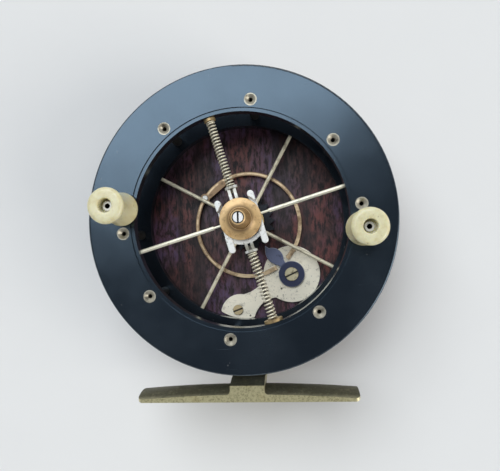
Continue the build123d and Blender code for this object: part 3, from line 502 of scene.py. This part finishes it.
def makeWood():
    look = woodFinish
    material, tree, into = startMaterial("backWood")
    radius, floor = look["wellRadius"] * mm, look["wellFloor"] * mm
    inWell = remap(tree, radiusFrom(tree), radius * look["wellSoft"], radius, 1.0, 0.0)
    well = times(tree, inWell, remap(tree, objectHeight(tree), floor * look["floorSoft"], floor))
    grain = noiseField(tree, objectSpace(tree, look["grain"]), *look["grainNoise"])
    mottle = noiseField(tree, objectSpace(tree, look["mottle"]), *look["mottleNoise"])
    pores = noiseField(tree, objectSpace(tree, look["pores"]), *look["poreNoise"])
    bands = noiseField(tree, objectSpace(tree, look["bands"]), *look["broadNoise"])
    warm = noiseField(tree, objectSpace(tree, look["warm"]), *look["broadNoise"])
    cool = noiseField(tree, objectSpace(tree, look["cool"], shift=look["coolShift"]), *look["broadNoise"])
    worn = times(tree, remap(tree, mottle, *look["wornRange"]), well)
    figure = timesPlus(tree, mathNode(tree, "SUBTRACT", mottle, grain), well, grain)
    tone = blendColors(tree, remap(tree, figure, *look["figureRange"]), look["late"], look["early"])
    tone = blendColors(tree, times(tree, remap(tree, warm, *look["warmRange"]), worn), tone, look["red"])
    # purple patches: partly wood and varnish tone, partly a painted sky reflection
    tone = blendColors(tree, times(tree, remap(tree, cool, *look["coolRange"]), worn), tone, look["purpleAndSkyReflection"])
    tone = blendColors(tree, remap(tree, bands, *look["bandRange"]), tone, look["late"])
    tone = blendColors(tree, remap(tree, pores, *look["poreRange"]), tone, look["flecks"])
    feed(tree, tone, into["Base Color"])
    feed(tree, remap(tree, figure, *look["glossRange"], look["matt"], look["gloss"]), into["Roughness"])
    feed(tree, look["specular"], into["Specular IOR Level"])
    depth = mathNode(tree, "ADD", figure, remap(tree, pores, *look["poreDepth"]))
    feed(tree, bumpFrom(tree, depth, *look["bump"]), into["Normal"])
    return material


# handles: pale horn, amber towards the flange; the glow's depths are in metres

hornFinish = {"pale": (0.71, 0.665, 0.43), "streak": (0.63, 0.565, 0.325), "amber": (0.63, 0.525, 0.25),
              "dirt": (0.10, 0.07, 0.03), "gloss": 0.26, "matt": 0.4, "amberReach": (43.2, 57.6),
              "amberShare": 0.4, "streaks": (420.0, 420.0, 60.0), "streakNoise": (1.0, 3.0),
              "streakRange": (0.4, 0.68), "cloudNoise": (150.0, 3.0),
              "cloudRange": (0.5, 0.8, 0.0, 0.45), "glossRange": (0.3, 0.7),
              "specks": (650.0, 0.55), "speckShare": 0.7, "coat": 0.25, "coatRough": 0.2, "glow": 0.3,
              "glowDepth": (0.004, 0.003, 0.0012), "bump": (0.08, 0.0001)}


def makeHorn():
    look = hornFinish
    material, tree, into = startMaterial("horn")
    streaks = noiseField(tree, objectSpace(tree, look["streaks"]), *look["streakNoise"])
    clouds = noiseField(tree, objectSpace(tree), *look["cloudNoise"])
    foot, top = (reach * mm for reach in look["amberReach"])
    low = remap(tree, objectHeight(tree), foot, top, look["amberShare"], 0.0)
    tone = blendColors(tree, remap(tree, streaks, *look["streakRange"]), look["pale"], look["streak"])
    warm = strongest(tree, remap(tree, clouds, *look["cloudRange"]), low)
    tone = blendColors(tree, warm, tone, look["amber"])
    specks = speckMask(tree, *look["specks"])
    tone = blendColors(tree, times(tree, specks, look["speckShare"]), tone, look["dirt"])
    feed(tree, tone, into["Base Color"])
    feed(tree, remap(tree, clouds, *look["glossRange"], look["gloss"], look["matt"]), into["Roughness"])
    feed(tree, look["coat"], into["Coat Weight"])
    feed(tree, look["coatRough"], into["Coat Roughness"])
    feed(tree, look["glow"], into["Subsurface Weight"])
    feed(tree, look["glowDepth"], into["Subsurface Radius"])
    feed(tree, bumpFrom(tree, streaks, *look["bump"]), into["Normal"])
    return material


# check plate: pale cast metal with pits, its chamfered edges lightened by wear and a painted highlight

plateFinish = {"face": (0.95, 0.88, 0.71), "dull": (0.62, 0.55, 0.40), "pits": (0.07, 0.055, 0.035),
               "rubbed": (0.95, 0.93, 0.84), "amount": 0.4, "patch": 170.0, "polish": 0.42, "haze": 0.58,
               "coarsePits": (330.0, 0.72), "finePits": (900.0, 0.72), "fineShare": 0.75,
               "smudgeNoise": (420.0, 5.0, 0.7), "smudge": (0.52, 0.72, 0.0, 0.5), "scratches": (110.0, 0.6),
               "scratchShare": 0.4, "edgeWearAndHighlight": 0.7, "metallic": 0.25, "bump": (0.4, 0.00012)}


def makePlateMetal():
    look = plateFinish
    material, tree, into = startMaterial("plateMetal")
    aged = tarnished(tree, look, "face", "dull")
    fine = times(tree, speckMask(tree, *look["finePits"]), look["fineShare"])
    pits = strongest(tree, speckMask(tree, *look["coarsePits"]), fine)
    smudge = remap(tree, noiseField(tree, objectSpace(tree), *look["smudgeNoise"]), *look["smudge"])
    marks = times(tree, scratchMask(tree, *look["scratches"]), look["scratchShare"])
    tone = blendColors(tree, strongest(tree, pits, smudge, marks), aged["Color"], look["pits"])
    # rubbed wear with painted highlight on the chamfered edges
    tone = blendColors(tree, edgeWearAndHighlightMask(tree, look["edgeWearAndHighlight"]), tone, look["rubbed"])
    feed(tree, tone, into["Base Color"])
    feed(tree, aged["Roughness"], into["Roughness"])
    feed(tree, look["metallic"], into["Metallic"])
    feed(tree, bumpFrom(tree, mathNode(tree, "SUBTRACT", 1.0, pits), *look["bump"]), into["Normal"])
    return material


# pawl: blued leaf, paler on scratches and on its chamfered edges (wear with a painted highlight), darkest
# round the eye

pawlFinish = {"blue": (0.150, 0.170, 0.260), "dark": (0.028, 0.034, 0.072), "rubbed": (0.48, 0.51, 0.60),
              "amount": 0.46, "patch": 330.0, "polish": 0.36, "haze": 0.52, "eyeRadius": 5.4,
              "eyeInner": 0.9, "eyeOuter": 1.08, "eyeShare": 0.85, "scratches": (90.0, 0.5),
              "scratchShare": 0.5, "edgeWearAndHighlight": 1.0, "metallic": 0.7}


def makeBluedSteel():
    look = pawlFinish
    material, tree, into = startMaterial("bluedSteel")
    aged = tarnished(tree, look, "blue", "dark")
    marks = times(tree, scratchMask(tree, *look["scratches"]), look["scratchShare"])
    low, high = corners("pawl_screw")
    reach, rim = radiusFrom(tree, (low + high) / 2), look["eyeRadius"] * mm
    eye = remap(tree, reach, rim * look["eyeInner"], rim * look["eyeOuter"], look["eyeShare"], 0.0)
    tone = blendColors(tree, eye, aged["Color"], look["dark"])
    # scratches, plus rubbed wear with painted highlight on the chamfered edges
    rubbed = strongest(tree, marks, edgeWearAndHighlightMask(tree, look["edgeWearAndHighlight"]))
    feed(tree, blendColors(tree, rubbed, tone, look["rubbed"]), into["Base Color"])
    feed(tree, aged["Roughness"], into["Roughness"])
    feed(tree, look["metallic"], into["Metallic"])
    return material


# check spring: bronze strip, browned at its edges, with a painted highlight, partly rubbed wear, along its
# crest

stripFinish = {"crestHighlight": (0.66, 0.50, 0.31), "brown": (0.24, 0.155, 0.085), "dark": (0.085, 0.055, 0.035),
               "amount": 0.46, "patch": 380.0, "polish": 0.38, "haze": 0.56, "centre": (0.65, -0.9),
               "crestRadius": 21.5, "crestInner": 0.17, "crestOuter": 0.544, "mouth": -50.45,
               "mouthSide": (3.0, 9.0), "levelRange": (0.8, 0.98), "wearNoise": (300.0, 4.0),
               "wearRange": (0.34, 0.6), "metallic": 0.55, "rolledNoise": (1500.0, 3.0),
               "bump": (0.25, 0.00005)}


def makeSpringStrip():
    look = stripFinish
    material, tree, into = startMaterial("springStrip")
    reach = radiusFrom(tree, Vector((*look["centre"], 0)) * mm)
    off = mathNode(tree, "ABSOLUTE", mathNode(tree, "SUBTRACT", reach, look["crestRadius"] * mm))
    crestHighlight = remap(tree, off, look["crestInner"] * mm, look["crestOuter"] * mm, 1.0, 0.0)
    near, far = (side * mm for side in look["mouthSide"])  # the ends bend, so there the crest goes by slope
    nearMouth = remap(tree, distanceAlong(tree, towards(look["mouth"])), near, far)
    level = times(tree, remap(tree, facing(tree, "Z"), *look["levelRange"]), nearMouth)
    worn = remap(tree, noiseField(tree, objectSpace(tree), *look["wearNoise"]), *look["wearRange"])
    aged = tarnished(tree, look, "brown", "dark")
    # painted highlight, partly rubbed wear: the crest band and the flat top near the mouth are lightened
    highlightAndRub = times(tree, strongest(tree, crestHighlight, level), worn)
    feed(tree, blendColors(tree, highlightAndRub, aged["Color"], look["crestHighlight"]), into["Base Color"])
    feed(tree, aged["Roughness"], into["Roughness"])
    feed(tree, look["metallic"], into["Metallic"])
    rolled = noiseField(tree, objectSpace(tree), *look["rolledNoise"])
    feed(tree, bumpFrom(tree, rolled, *look["bump"]), into["Normal"])
    return material


# hub cap: soft turned brass, the boss flank browner with tarnish and painted shade, painted shade with dirt
# round the boss foot

capFinish = {"clean": (0.66, 0.44, 0.20), "dull": (0.42, 0.22, 0.066), "boss": (0.19, 0.105, 0.036),
             "grime": (0.15, 0.08, 0.026), "amount": 0.52, "patch": 230.0, "polish": 0.4, "haze": 0.56,
             "bossHeight": 7.6, "bossRadius": 4.25, "footFade": 1.35, "footShare": 0.8, "rim": 0.5,
             "flankFoot": (0.25, 0.8), "flankTop": (0.7, 0.25), "gapRadius": 2.1, "gapFade": 1.08,
             "ringPitch": 21000.0, "linePitch": 9000.0,
             "lines": (-1.0, 1.0, 0.6, 0.95), "stainNoise": (330.0, 5.0, 0.7), "stain": (0.5, 0.75, 0.0, 0.7),
             "specks": (820.0, 0.7), "speckShare": 0.7, "metallic": 0.35, "coat": 0.32, "coatRough": 0.36,
             "bump": (0.25, 0.00004)}


def makeCapBrass():
    look = capFinish
    material, tree, into = startMaterial("capBrass")
    rings = effect(tree, "rings", {"Pitch": look["ringPitch"]})
    aged = tarnished(tree, look, "clean", "dull")
    height = objectHeight(tree)
    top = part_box("hub_cap")[1][2]
    crown, rim = top - look["bossHeight"] * mm, look["rim"] * mm
    above = remap(tree, height, *(crown + rise * mm for rise in look["flankFoot"]))
    below = remap(tree, height, *(top - drop * mm for drop in look["flankTop"]), 1.0, 0.0)
    turned = remap(tree, mathNode(tree, "SINE", times(tree, height, look["linePitch"])), *look["lines"])
    # painted shade with tarnish on the boss flank, broken by turned lines
    flankShadeAndTarnish = times(tree, times(tree, above, below), turned)
    foot, gapEdge = look["bossRadius"] * mm, look["gapRadius"] * mm
    # painted shade round the foot of the boss
    bossFootShade = remap(tree, rings["Radius"], foot, foot * look["footFade"], look["footShare"], 0.0)
    stain = remap(tree, noiseField(tree, objectSpace(tree), *look["stainNoise"]), *look["stain"])
    specks = times(tree, speckMask(tree, *look["specks"]), look["speckShare"])
    onFace = remap(tree, height, crown, crown + rim, 1.0, 0.0)
    # dirt specks and stains together with that painted shade, only on the cap's face
    dirt = times(tree, strongest(tree, specks, bossFootShade, stain), onFace)
    gap = remap(tree, rings["Radius"], gapEdge, gapEdge * look["gapFade"], 1.0, 0.0)
    tone = blendColors(tree, dirt, aged["Color"], look["grime"])
    tone = blendColors(tree, flankShadeAndTarnish, tone, look["boss"])
    feed(tree, blendColors(tree, gap, tone, slotShadeAndDirt), into["Base Color"])
    feed(tree, aged["Roughness"], into["Roughness"])
    feed(tree, look["metallic"], into["Metallic"])
    feed(tree, timesPlus(tree, flankShadeAndTarnish, -look["coat"], look["coat"]), into["Coat Weight"])
    feed(tree, look["coatRough"], into["Coat Roughness"])
    feed(tree, bumpFrom(tree, rings["Height"], *look["bump"]), into["Normal"])
    return material


# foot: old speckled brass; painted shade darkens the faces turned towards the drum, and a painted highlight
# with wear lightens the chamfered edges

footFinish = {"rubbed": (0.55, 0.495, 0.285), "dull": (0.39, 0.34, 0.18), "dark": (0.055, 0.055, 0.036),
              "highlightAndRub": (0.66, 0.60, 0.38), "specks": (0.17, 0.145, 0.07), "amount": 0.54, "patch": 170.0,
              "polish": 0.42, "haze": 0.62, "stainNoise": (260.0, 4.0), "stainShare": 0.3,
              "drumShadeRange": (0.3, 0.75, 0.0, 0.85), "drumShadeDull": 0.1, "speckNoise": (1300.0, 4.0, 0.75),
              "speckRange": (0.44, 0.68, 0.0, 0.7), "thinNoise": (560.0, 5.0, 0.7),
              "thinRange": (0.5, 0.66, 1.0, 0.8), "edgeWearAndHighlight": 0.8, "metallic": 0.6,
              "castNoise": (1900.0, 3.0), "bump": (0.3, 0.00008)}


def makeFootBrass():
    look = footFinish
    material, tree, into = startMaterial("footBrass")
    aged = tarnished(tree, look, "rubbed", "dull")
    stain = noiseField(tree, objectSpace(tree), *look["stainNoise"])
    # painted shade: faces turned towards the drum (+Y) are blended to the dark colour
    paintedDrumShade = remap(tree, timesPlus(tree, stain, look["stainShare"], facing(tree, "Y")), *look["drumShadeRange"])
    speckled = noiseField(tree, objectSpace(tree), *look["speckNoise"])
    tone = blendColors(tree, remap(tree, speckled, *look["speckRange"]), aged["Color"], look["specks"])
    thin = remap(tree, noiseField(tree, objectSpace(tree), *look["thinNoise"]), *look["thinRange"])
    tone = blendColors(tree, times(tree, paintedDrumShade, thin), tone, look["dark"])
    # rubbed wear with painted highlight on the chamfered edges
    tone = blendColors(tree, edgeWearAndHighlightMask(tree, look["edgeWearAndHighlight"]), tone, look["highlightAndRub"])
    feed(tree, tone, into["Base Color"])
    feed(tree, timesPlus(tree, paintedDrumShade, look["drumShadeDull"], aged["Roughness"]), into["Roughness"])
    feed(tree, look["metallic"], into["Metallic"])
    cast = noiseField(tree, objectSpace(tree), *look["castNoise"])
    feed(tree, bumpFrom(tree, cast, *look["bump"]), into["Normal"])
    return material


finishes = {name: makeMetal(name, look) for name, look in metals.items()}
finishes.update({node + "Metal": makeScrewMetal(node, look) for node, look in screws.items()})
finishes.update(ebonite=makeEbonite(), backWood=makeWood(), horn=makeHorn(), plateMetal=makePlateMetal(),
                bluedSteel=makeBluedSteel(), springStrip=makeSpringStrip(), capBrass=makeCapBrass(),
                footBrass=makeFootBrass())
print("finishes:", ", ".join(sorted(finishes)))

dressing = {
    "ebonite": ["front_flange", "back_flange"],
    "backWood": ["back_plate"],
    "plateMetal": ["check_plate"],
    "bluedSteel": ["pawl"],
    "capBrass": ["hub_cap"],
    "footBrass": ["foot"],
    "starBrass": ["star_back", "check_button", "handle_washers"],
    "hubBrass": ["hub"],
    "seatBronze": ["hub_bushes", "spring_seats"],
    "forkNickel": ["top_release_fork", "bottom_release_fork"],
    "spokeNickel": ["front_spokes"],
    "backSpokeNickel": ["back_spokes"],
    "rivetNickel": ["pillars"],
    "rodSteel": ["spindle", "guide_rods"],
    "ratchetSteel": ["ratchet_wheel"],
    **{node + "Metal": [node] for node in screws},
}
for finish, members in dressing.items():
    for member in members:
        slots = nodes[member].data.materials
        slots.clear()
        slots.append(finishes[finish])


# release springs: round wire, closed at both ends, each on its own rod

springLine = {"level": 38.9, "collar": 12.8, "seat": 38.6, "wireSides": 12, "stepsPerTurn": 24,
              "closedPitch": 1.04}
springs = {
    "top_release_spring": {"angle": releaseAngle, "joint": "top_release", "outer": 3.4, "wire": 0.52,
                           "turns": 20},
    "bottom_release_spring": {"angle": releaseAngle + 180, "joint": "bottom_release", "outer": 3.7,
                              "wire": 0.6, "turns": 18},
}


def windSpring(name, spec):
    wire = spec["wire"] * mm
    length = (springLine["seat"] - springLine["collar"]) * mm
    closed = springLine["closedPitch"] * wire
    shape = bmesh.new()
    bmesh.ops.create_circle(shape, radius=wire / 2, segments=springLine["wireSides"])
    bmesh.ops.rotate(shape, verts=shape.verts, matrix=Matrix.Rotation(pi / 2, 3, "X"))
    bmesh.ops.translate(shape, verts=shape.verts, vec=((spec["outer"] * mm - wire) / 2, 0, wire / 2))
    section = shape.verts[:] + shape.edges[:]
    openRise = (length - wire - 2 * closed) / spec["turns"]
    for turns, rise in ((1, closed), (spec["turns"], openRise), (1, closed)):
        steps = turns * springLine["stepsPerTurn"]
        wound = bmesh.ops.spin(shape, geom=section, axis=(0, 0, 1), dvec=(0, 0, rise * turns / steps),
                               angle=2 * pi * turns, steps=steps)
        section = wound["geom_last"]
    bmesh.ops.holes_fill(shape, edges=shape.edges, sides=springLine["wireSides"])
    along = towards(spec["angle"])
    up = Vector((0, 0, springLine["level"] * mm))
    place = Matrix.Translation(along * springLine["collar"] * mm + up)
    lean = Vector((0, 0, 1)).rotation_difference(along).to_matrix().to_4x4()
    bmesh.ops.transform(shape, verts=shape.verts, matrix=place @ lean)
    bmesh.ops.recalc_face_normals(shape, faces=shape.faces)
    for face in shape.faces:
        face.smooth = len(face.verts) == 4
    spring = addPiece(name + "Wound", shape, finishes["springWire"])
    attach(spring, "drum")
    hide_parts(name)
    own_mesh(spring)


for name, spec in springs.items():
    windSpring(name, spec)
print("springs wound:", len(springs))


# check spring: the strip with its upper edges rounded over, cut into three lengths: the ring and its two ends

stripShape = {"rounding": 0.42, "steps": 4, "sharpAngle": 60.0, "flatAngle": 1.0, "joinGap": 0.001,
              "shadeAngle": 40.0, "flatNormal": 0.999, "radius": 21.45, "ends": (-58.2, -42.7),
              "bendArc": 24.0, "bendCuts": 6, "ringBend": (2.0, 17.4), "endMargin": 0.4, "endHold": 1.5}


def roundedStrip():
    gap = stripShape["joinGap"] * mm
    shape = bmesh.new()
    shape.from_mesh(nodes["check_spring"].data)
    bmesh.ops.remove_doubles(shape, verts=shape.verts, dist=gap)
    bmesh.ops.dissolve_limit(shape, angle_limit=radians(stripShape["flatAngle"]), verts=shape.verts,
                             edges=shape.edges)
    top = max(vert.co.z for vert in shape.verts)
    low, high = corners("check_spring_pin")
    pin, pinReach = (low + high) / 2, (high - low).x / 2
    rims = []
    for edge in shape.edges:
        middle = (edge.verts[0].co + edge.verts[1].co) / 2
        onTop = all(top - vert.co.z < gap for vert in edge.verts)
        outside = (middle - pin).xy.length > pinReach
        if onTop and outside and edge.calc_face_angle(0.0) > radians(stripShape["sharpAngle"]):
            rims.append(edge)
    bmesh.ops.bevel(shape, geom=rims, offset=stripShape["rounding"] * mm, offset_type="OFFSET",
                    segments=stripShape["steps"], profile=0.5, affect="EDGES", material=-1,
                    clamp_overlap=True)
    return shape


def cutStrip(shape, centre, mouth):
    gap = stripShape["joinGap"] * mm
    whole = shape.verts[:] + shape.edges[:] + shape.faces[:]
    bmesh.ops.bisect_plane(shape, geom=whole, dist=gap, plane_co=centre, plane_no=mouth)
    for side, end in zip((-1, 1), stripShape["ends"]):
        for step in range(1, stripShape["bendCuts"] + 1):
            across = towards(end + side * stripShape["bendArc"] * step / stripShape["bendCuts"] + 90)
            verts = [vert for vert in shape.verts if (vert.co - centre).dot(mouth) > -gap]
            inside = set(verts)
            edges = [edge for edge in shape.edges if inside.issuperset(edge.verts)]
            faces = [face for face in shape.faces if (face.calc_center_median() - centre).dot(mouth) > 0]
            bmesh.ops.bisect_plane(shape, geom=verts + edges + faces, dist=gap, plane_co=centre,
                                   plane_no=across)


def lengthOf(face, centre, mouth):
    offset = face.calc_center_median() - centre
    turn = degrees(atan2(offset.y, offset.x))
    lowEnd, highEnd = stripShape["ends"]
    if offset.dot(mouth) <= 0 or not lowEnd - stripShape["bendArc"] < turn < highEnd + stripShape["bendArc"]:
        return "checkSpringRing"
    return "checkSpringLowEnd" if turn < stripFinish["mouth"] else "checkSpringHighEnd"


def stripLength(name, shape, centre, mouth):
    part = shape.copy()
    others = [face for face in part.faces if lengthOf(face, centre, mouth) != name]
    bmesh.ops.delete(part, geom=others, context="FACES")
    bmesh.ops.holes_fill(part, edges=[edge for edge in part.edges if edge.is_boundary], sides=0)
    bmesh.ops.recalc_face_normals(part, faces=part.faces)
    for face in part.faces:
        face.smooth = abs(face.normal.z) < stripShape["flatNormal"]
    for edge in part.edges:
        edge.smooth = edge.calc_face_angle(0.0) < radians(stripShape["shadeAngle"])
    piece = addPiece(name, part, finishes["springStrip"])
    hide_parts("check_spring")
    return piece


def fitCheckSpring():
    centre = Vector((*stripFinish["centre"], 0)) * mm
    mouth = towards(stripFinish["mouth"])
    shape = roundedStrip()
    cutStrip(shape, centre, mouth)
    ring = stripLength("checkSpringRing", shape, centre, mouth)
    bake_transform(ring)
    for name, side, angle in zip(("checkSpringLowEnd", "checkSpringHighEnd"), (-1, 1), stripShape["ends"]):
        piece = stripLength(name, shape, centre, mouth)
        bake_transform(piece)
    shape.free()


fitCheckSpring()
print("check spring fitted")


# handles: turned grips with well-rounded ends

gripShape = {"lowRadius": 6.2, "waistRadius": 5.2, "topRadius": 6.3, "lip": 1.2, "topRound": 1.5,
             "footRound": 0.9, "boreRadius": 1.5, "wellRadius": 2.4, "wellDepth": 4.0, "wellRound": 0.4,
             "steps": 96, "curveSteps": 20, "cornerSteps": 7, "joinGap": 0.001, "sharpAngle": 40.0}
grips = {"right_handle": "right_grip", "left_handle": "left_grip"}


def roundCorner(centre, radius, start, end):
    steps = gripShape["cornerSteps"]
    angles = [radians(start + (end - start) * step / steps) for step in range(steps + 1)]
    return [(centre[0] + radius * cos(angle), centre[1] + radius * sin(angle)) for angle in angles]


def gripOutline(base, top):
    low, high, waist = gripShape["lowRadius"], gripShape["topRadius"], gripShape["waistRadius"]
    bore, well, wellFloor = gripShape["boreRadius"], gripShape["wellRadius"], top - gripShape["wellDepth"]
    footRound, topRound, wellRound = gripShape["footRound"], gripShape["topRound"], gripShape["wellRound"]
    bottom, ceiling = base + gripShape["lip"], top - topRound
    outline = [(bore, base)]
    outline += roundCorner((low - footRound, base + footRound), footRound, -90, 0)
    for step in range(gripShape["curveSteps"] + 1):
        share = 2 * step / gripShape["curveSteps"] - 1
        radius = waist + share * (high - low) / 2 + share * share * ((high + low) / 2 - waist)
        outline.append((radius, (bottom + ceiling) / 2 + share * (ceiling - bottom) / 2))
    outline += roundCorner((high - topRound, ceiling), topRound, 0, 90)[1:]
    outline += roundCorner((well + wellRound, top - wellRound), wellRound, 90, 180)
    outline += [(well, wellFloor), (bore, wellFloor)]
    return outline


def turnGrip(node, body):
    low, high = corners(node)
    centre = (low + high) / 2
    shape = bmesh.new()
    outline = gripOutline(low.z / mm, high.z / mm)
    points = [shape.verts.new((radius * mm, 0, level * mm)) for radius, level in outline]
    loop = [shape.edges.new((points[at - 1], points[at])) for at in range(len(points))]
    bmesh.ops.spin(shape, geom=points + loop, axis=(0, 0, 1), angle=2 * pi, steps=gripShape["steps"],
                   use_merge=True)
    bmesh.ops.remove_doubles(shape, verts=shape.verts, dist=gripShape["joinGap"] * mm)
    bmesh.ops.translate(shape, verts=shape.verts, vec=(centre.x, centre.y, 0))
    bmesh.ops.recalc_face_normals(shape, faces=shape.faces)
    for face in shape.faces:
        face.smooth = True
    for edge in shape.edges:
        edge.smooth = edge.calc_face_angle(0.0) < radians(gripShape["sharpAngle"])
    grip = addPiece(node + "Grip", shape, finishes["horn"])
    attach(grip, body)
    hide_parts(node)


for node, body in grips.items():
    turnGrip(node, body)
print("grips turned:", len(grips))


# floor, light and camera: the floor's size and the camera's place are in metres

studio = {"floorSize": 20.0, "floorDrop": 0.2, "floorColor": (0.78, 0.77, 0.75), "floorShade": 0.97,
          "floorNoise": (30.0, 3.0), "floorRough": 0.8, "horizonColor": (0.80, 0.82, 0.85),
          "zenithColor": (0.10, 0.115, 0.135), "horizonTop": 0.16, "zenithFoot": 0.55, "worldStrength": 1.0}
lamps = {
    "skyLight": {"azimuth": 114.0, "elevation": 55.0, "spread": 54.0, "strength": 2.55,
                 "color": (0.90, 0.95, 1.0)},
    "fillLight": {"azimuth": -23.0, "elevation": 26.0, "spread": 40.0, "strength": 1.55,
                  "color": (1.0, 0.97, 0.92)},
}
viewpoint = {"at": (0.017723, -0.011424, 0.227134), "turn": (1.48, 4.5, -1.7), "lens": 36.648, "sensor": 36.0,
             "clipStart": 0.01}


def layFloor():
    material, tree, into = startMaterial("paleFloor")
    mottle = noiseField(tree, objectSpace(tree), *studio["floorNoise"])
    pale = studio["floorColor"]
    shaded = tuple(channel * studio["floorShade"] for channel in pale)
    feed(tree, blendColors(tree, mottle, shaded, pale), into["Base Color"])
    feed(tree, studio["floorRough"], into["Roughness"])
    shape = bmesh.new()
    bmesh.ops.create_grid(shape, x_segments=1, y_segments=1, size=studio["floorSize"])
    floor = addPiece("studioFloor", shape, material)
    floor.location.z = -studio["floorDrop"] * mm


def hangLamps():
    for name, spec in lamps.items():
        light = bpy.data.lights.new(name, "SUN")
        light.angle = radians(spec["spread"])
        light.energy = spec["strength"]
        light.color = spec["color"]
        lamp = bpy.data.objects.new(name, light)
        scene.collection.objects.link(lamp)
        lamp.rotation_euler = (radians(90 - spec["elevation"]), 0, radians(spec["azimuth"] + 90))


def paintWorld():
    world = bpy.data.worlds.new("studioWorld")
    scene.world = world
    world.use_nodes = True
    tree = world.node_tree
    backdrop = tree.nodes["Background"].inputs
    coords = put(tree, "ShaderNodeTexCoord")
    height = put(tree, "ShaderNodeSeparateXYZ")
    feed(tree, coords.outputs["Generated"], height.inputs[0])
    rise = remap(tree, height.outputs["Z"], studio["horizonTop"], studio["zenithFoot"])
    feed(tree, blendColors(tree, rise, studio["horizonColor"], studio["zenithColor"]), backdrop["Color"])
    feed(tree, studio["worldStrength"], backdrop["Strength"])


def setCamera():
    lensData = bpy.data.cameras.new("photoCamera")
    lensData.sensor_width = viewpoint["sensor"]
    lensData.lens = viewpoint["lens"]
    lensData.clip_start = viewpoint["clipStart"]
    camera = bpy.data.objects.new("photoCamera", lensData)
    scene.collection.objects.link(camera)
    camera.location = viewpoint["at"]
    camera.rotation_euler = [radians(angle) for angle in viewpoint["turn"]]
    scene.camera = camera


layFloor()
hangLamps()
paintWorld()
setCamera()
print("studio ready")
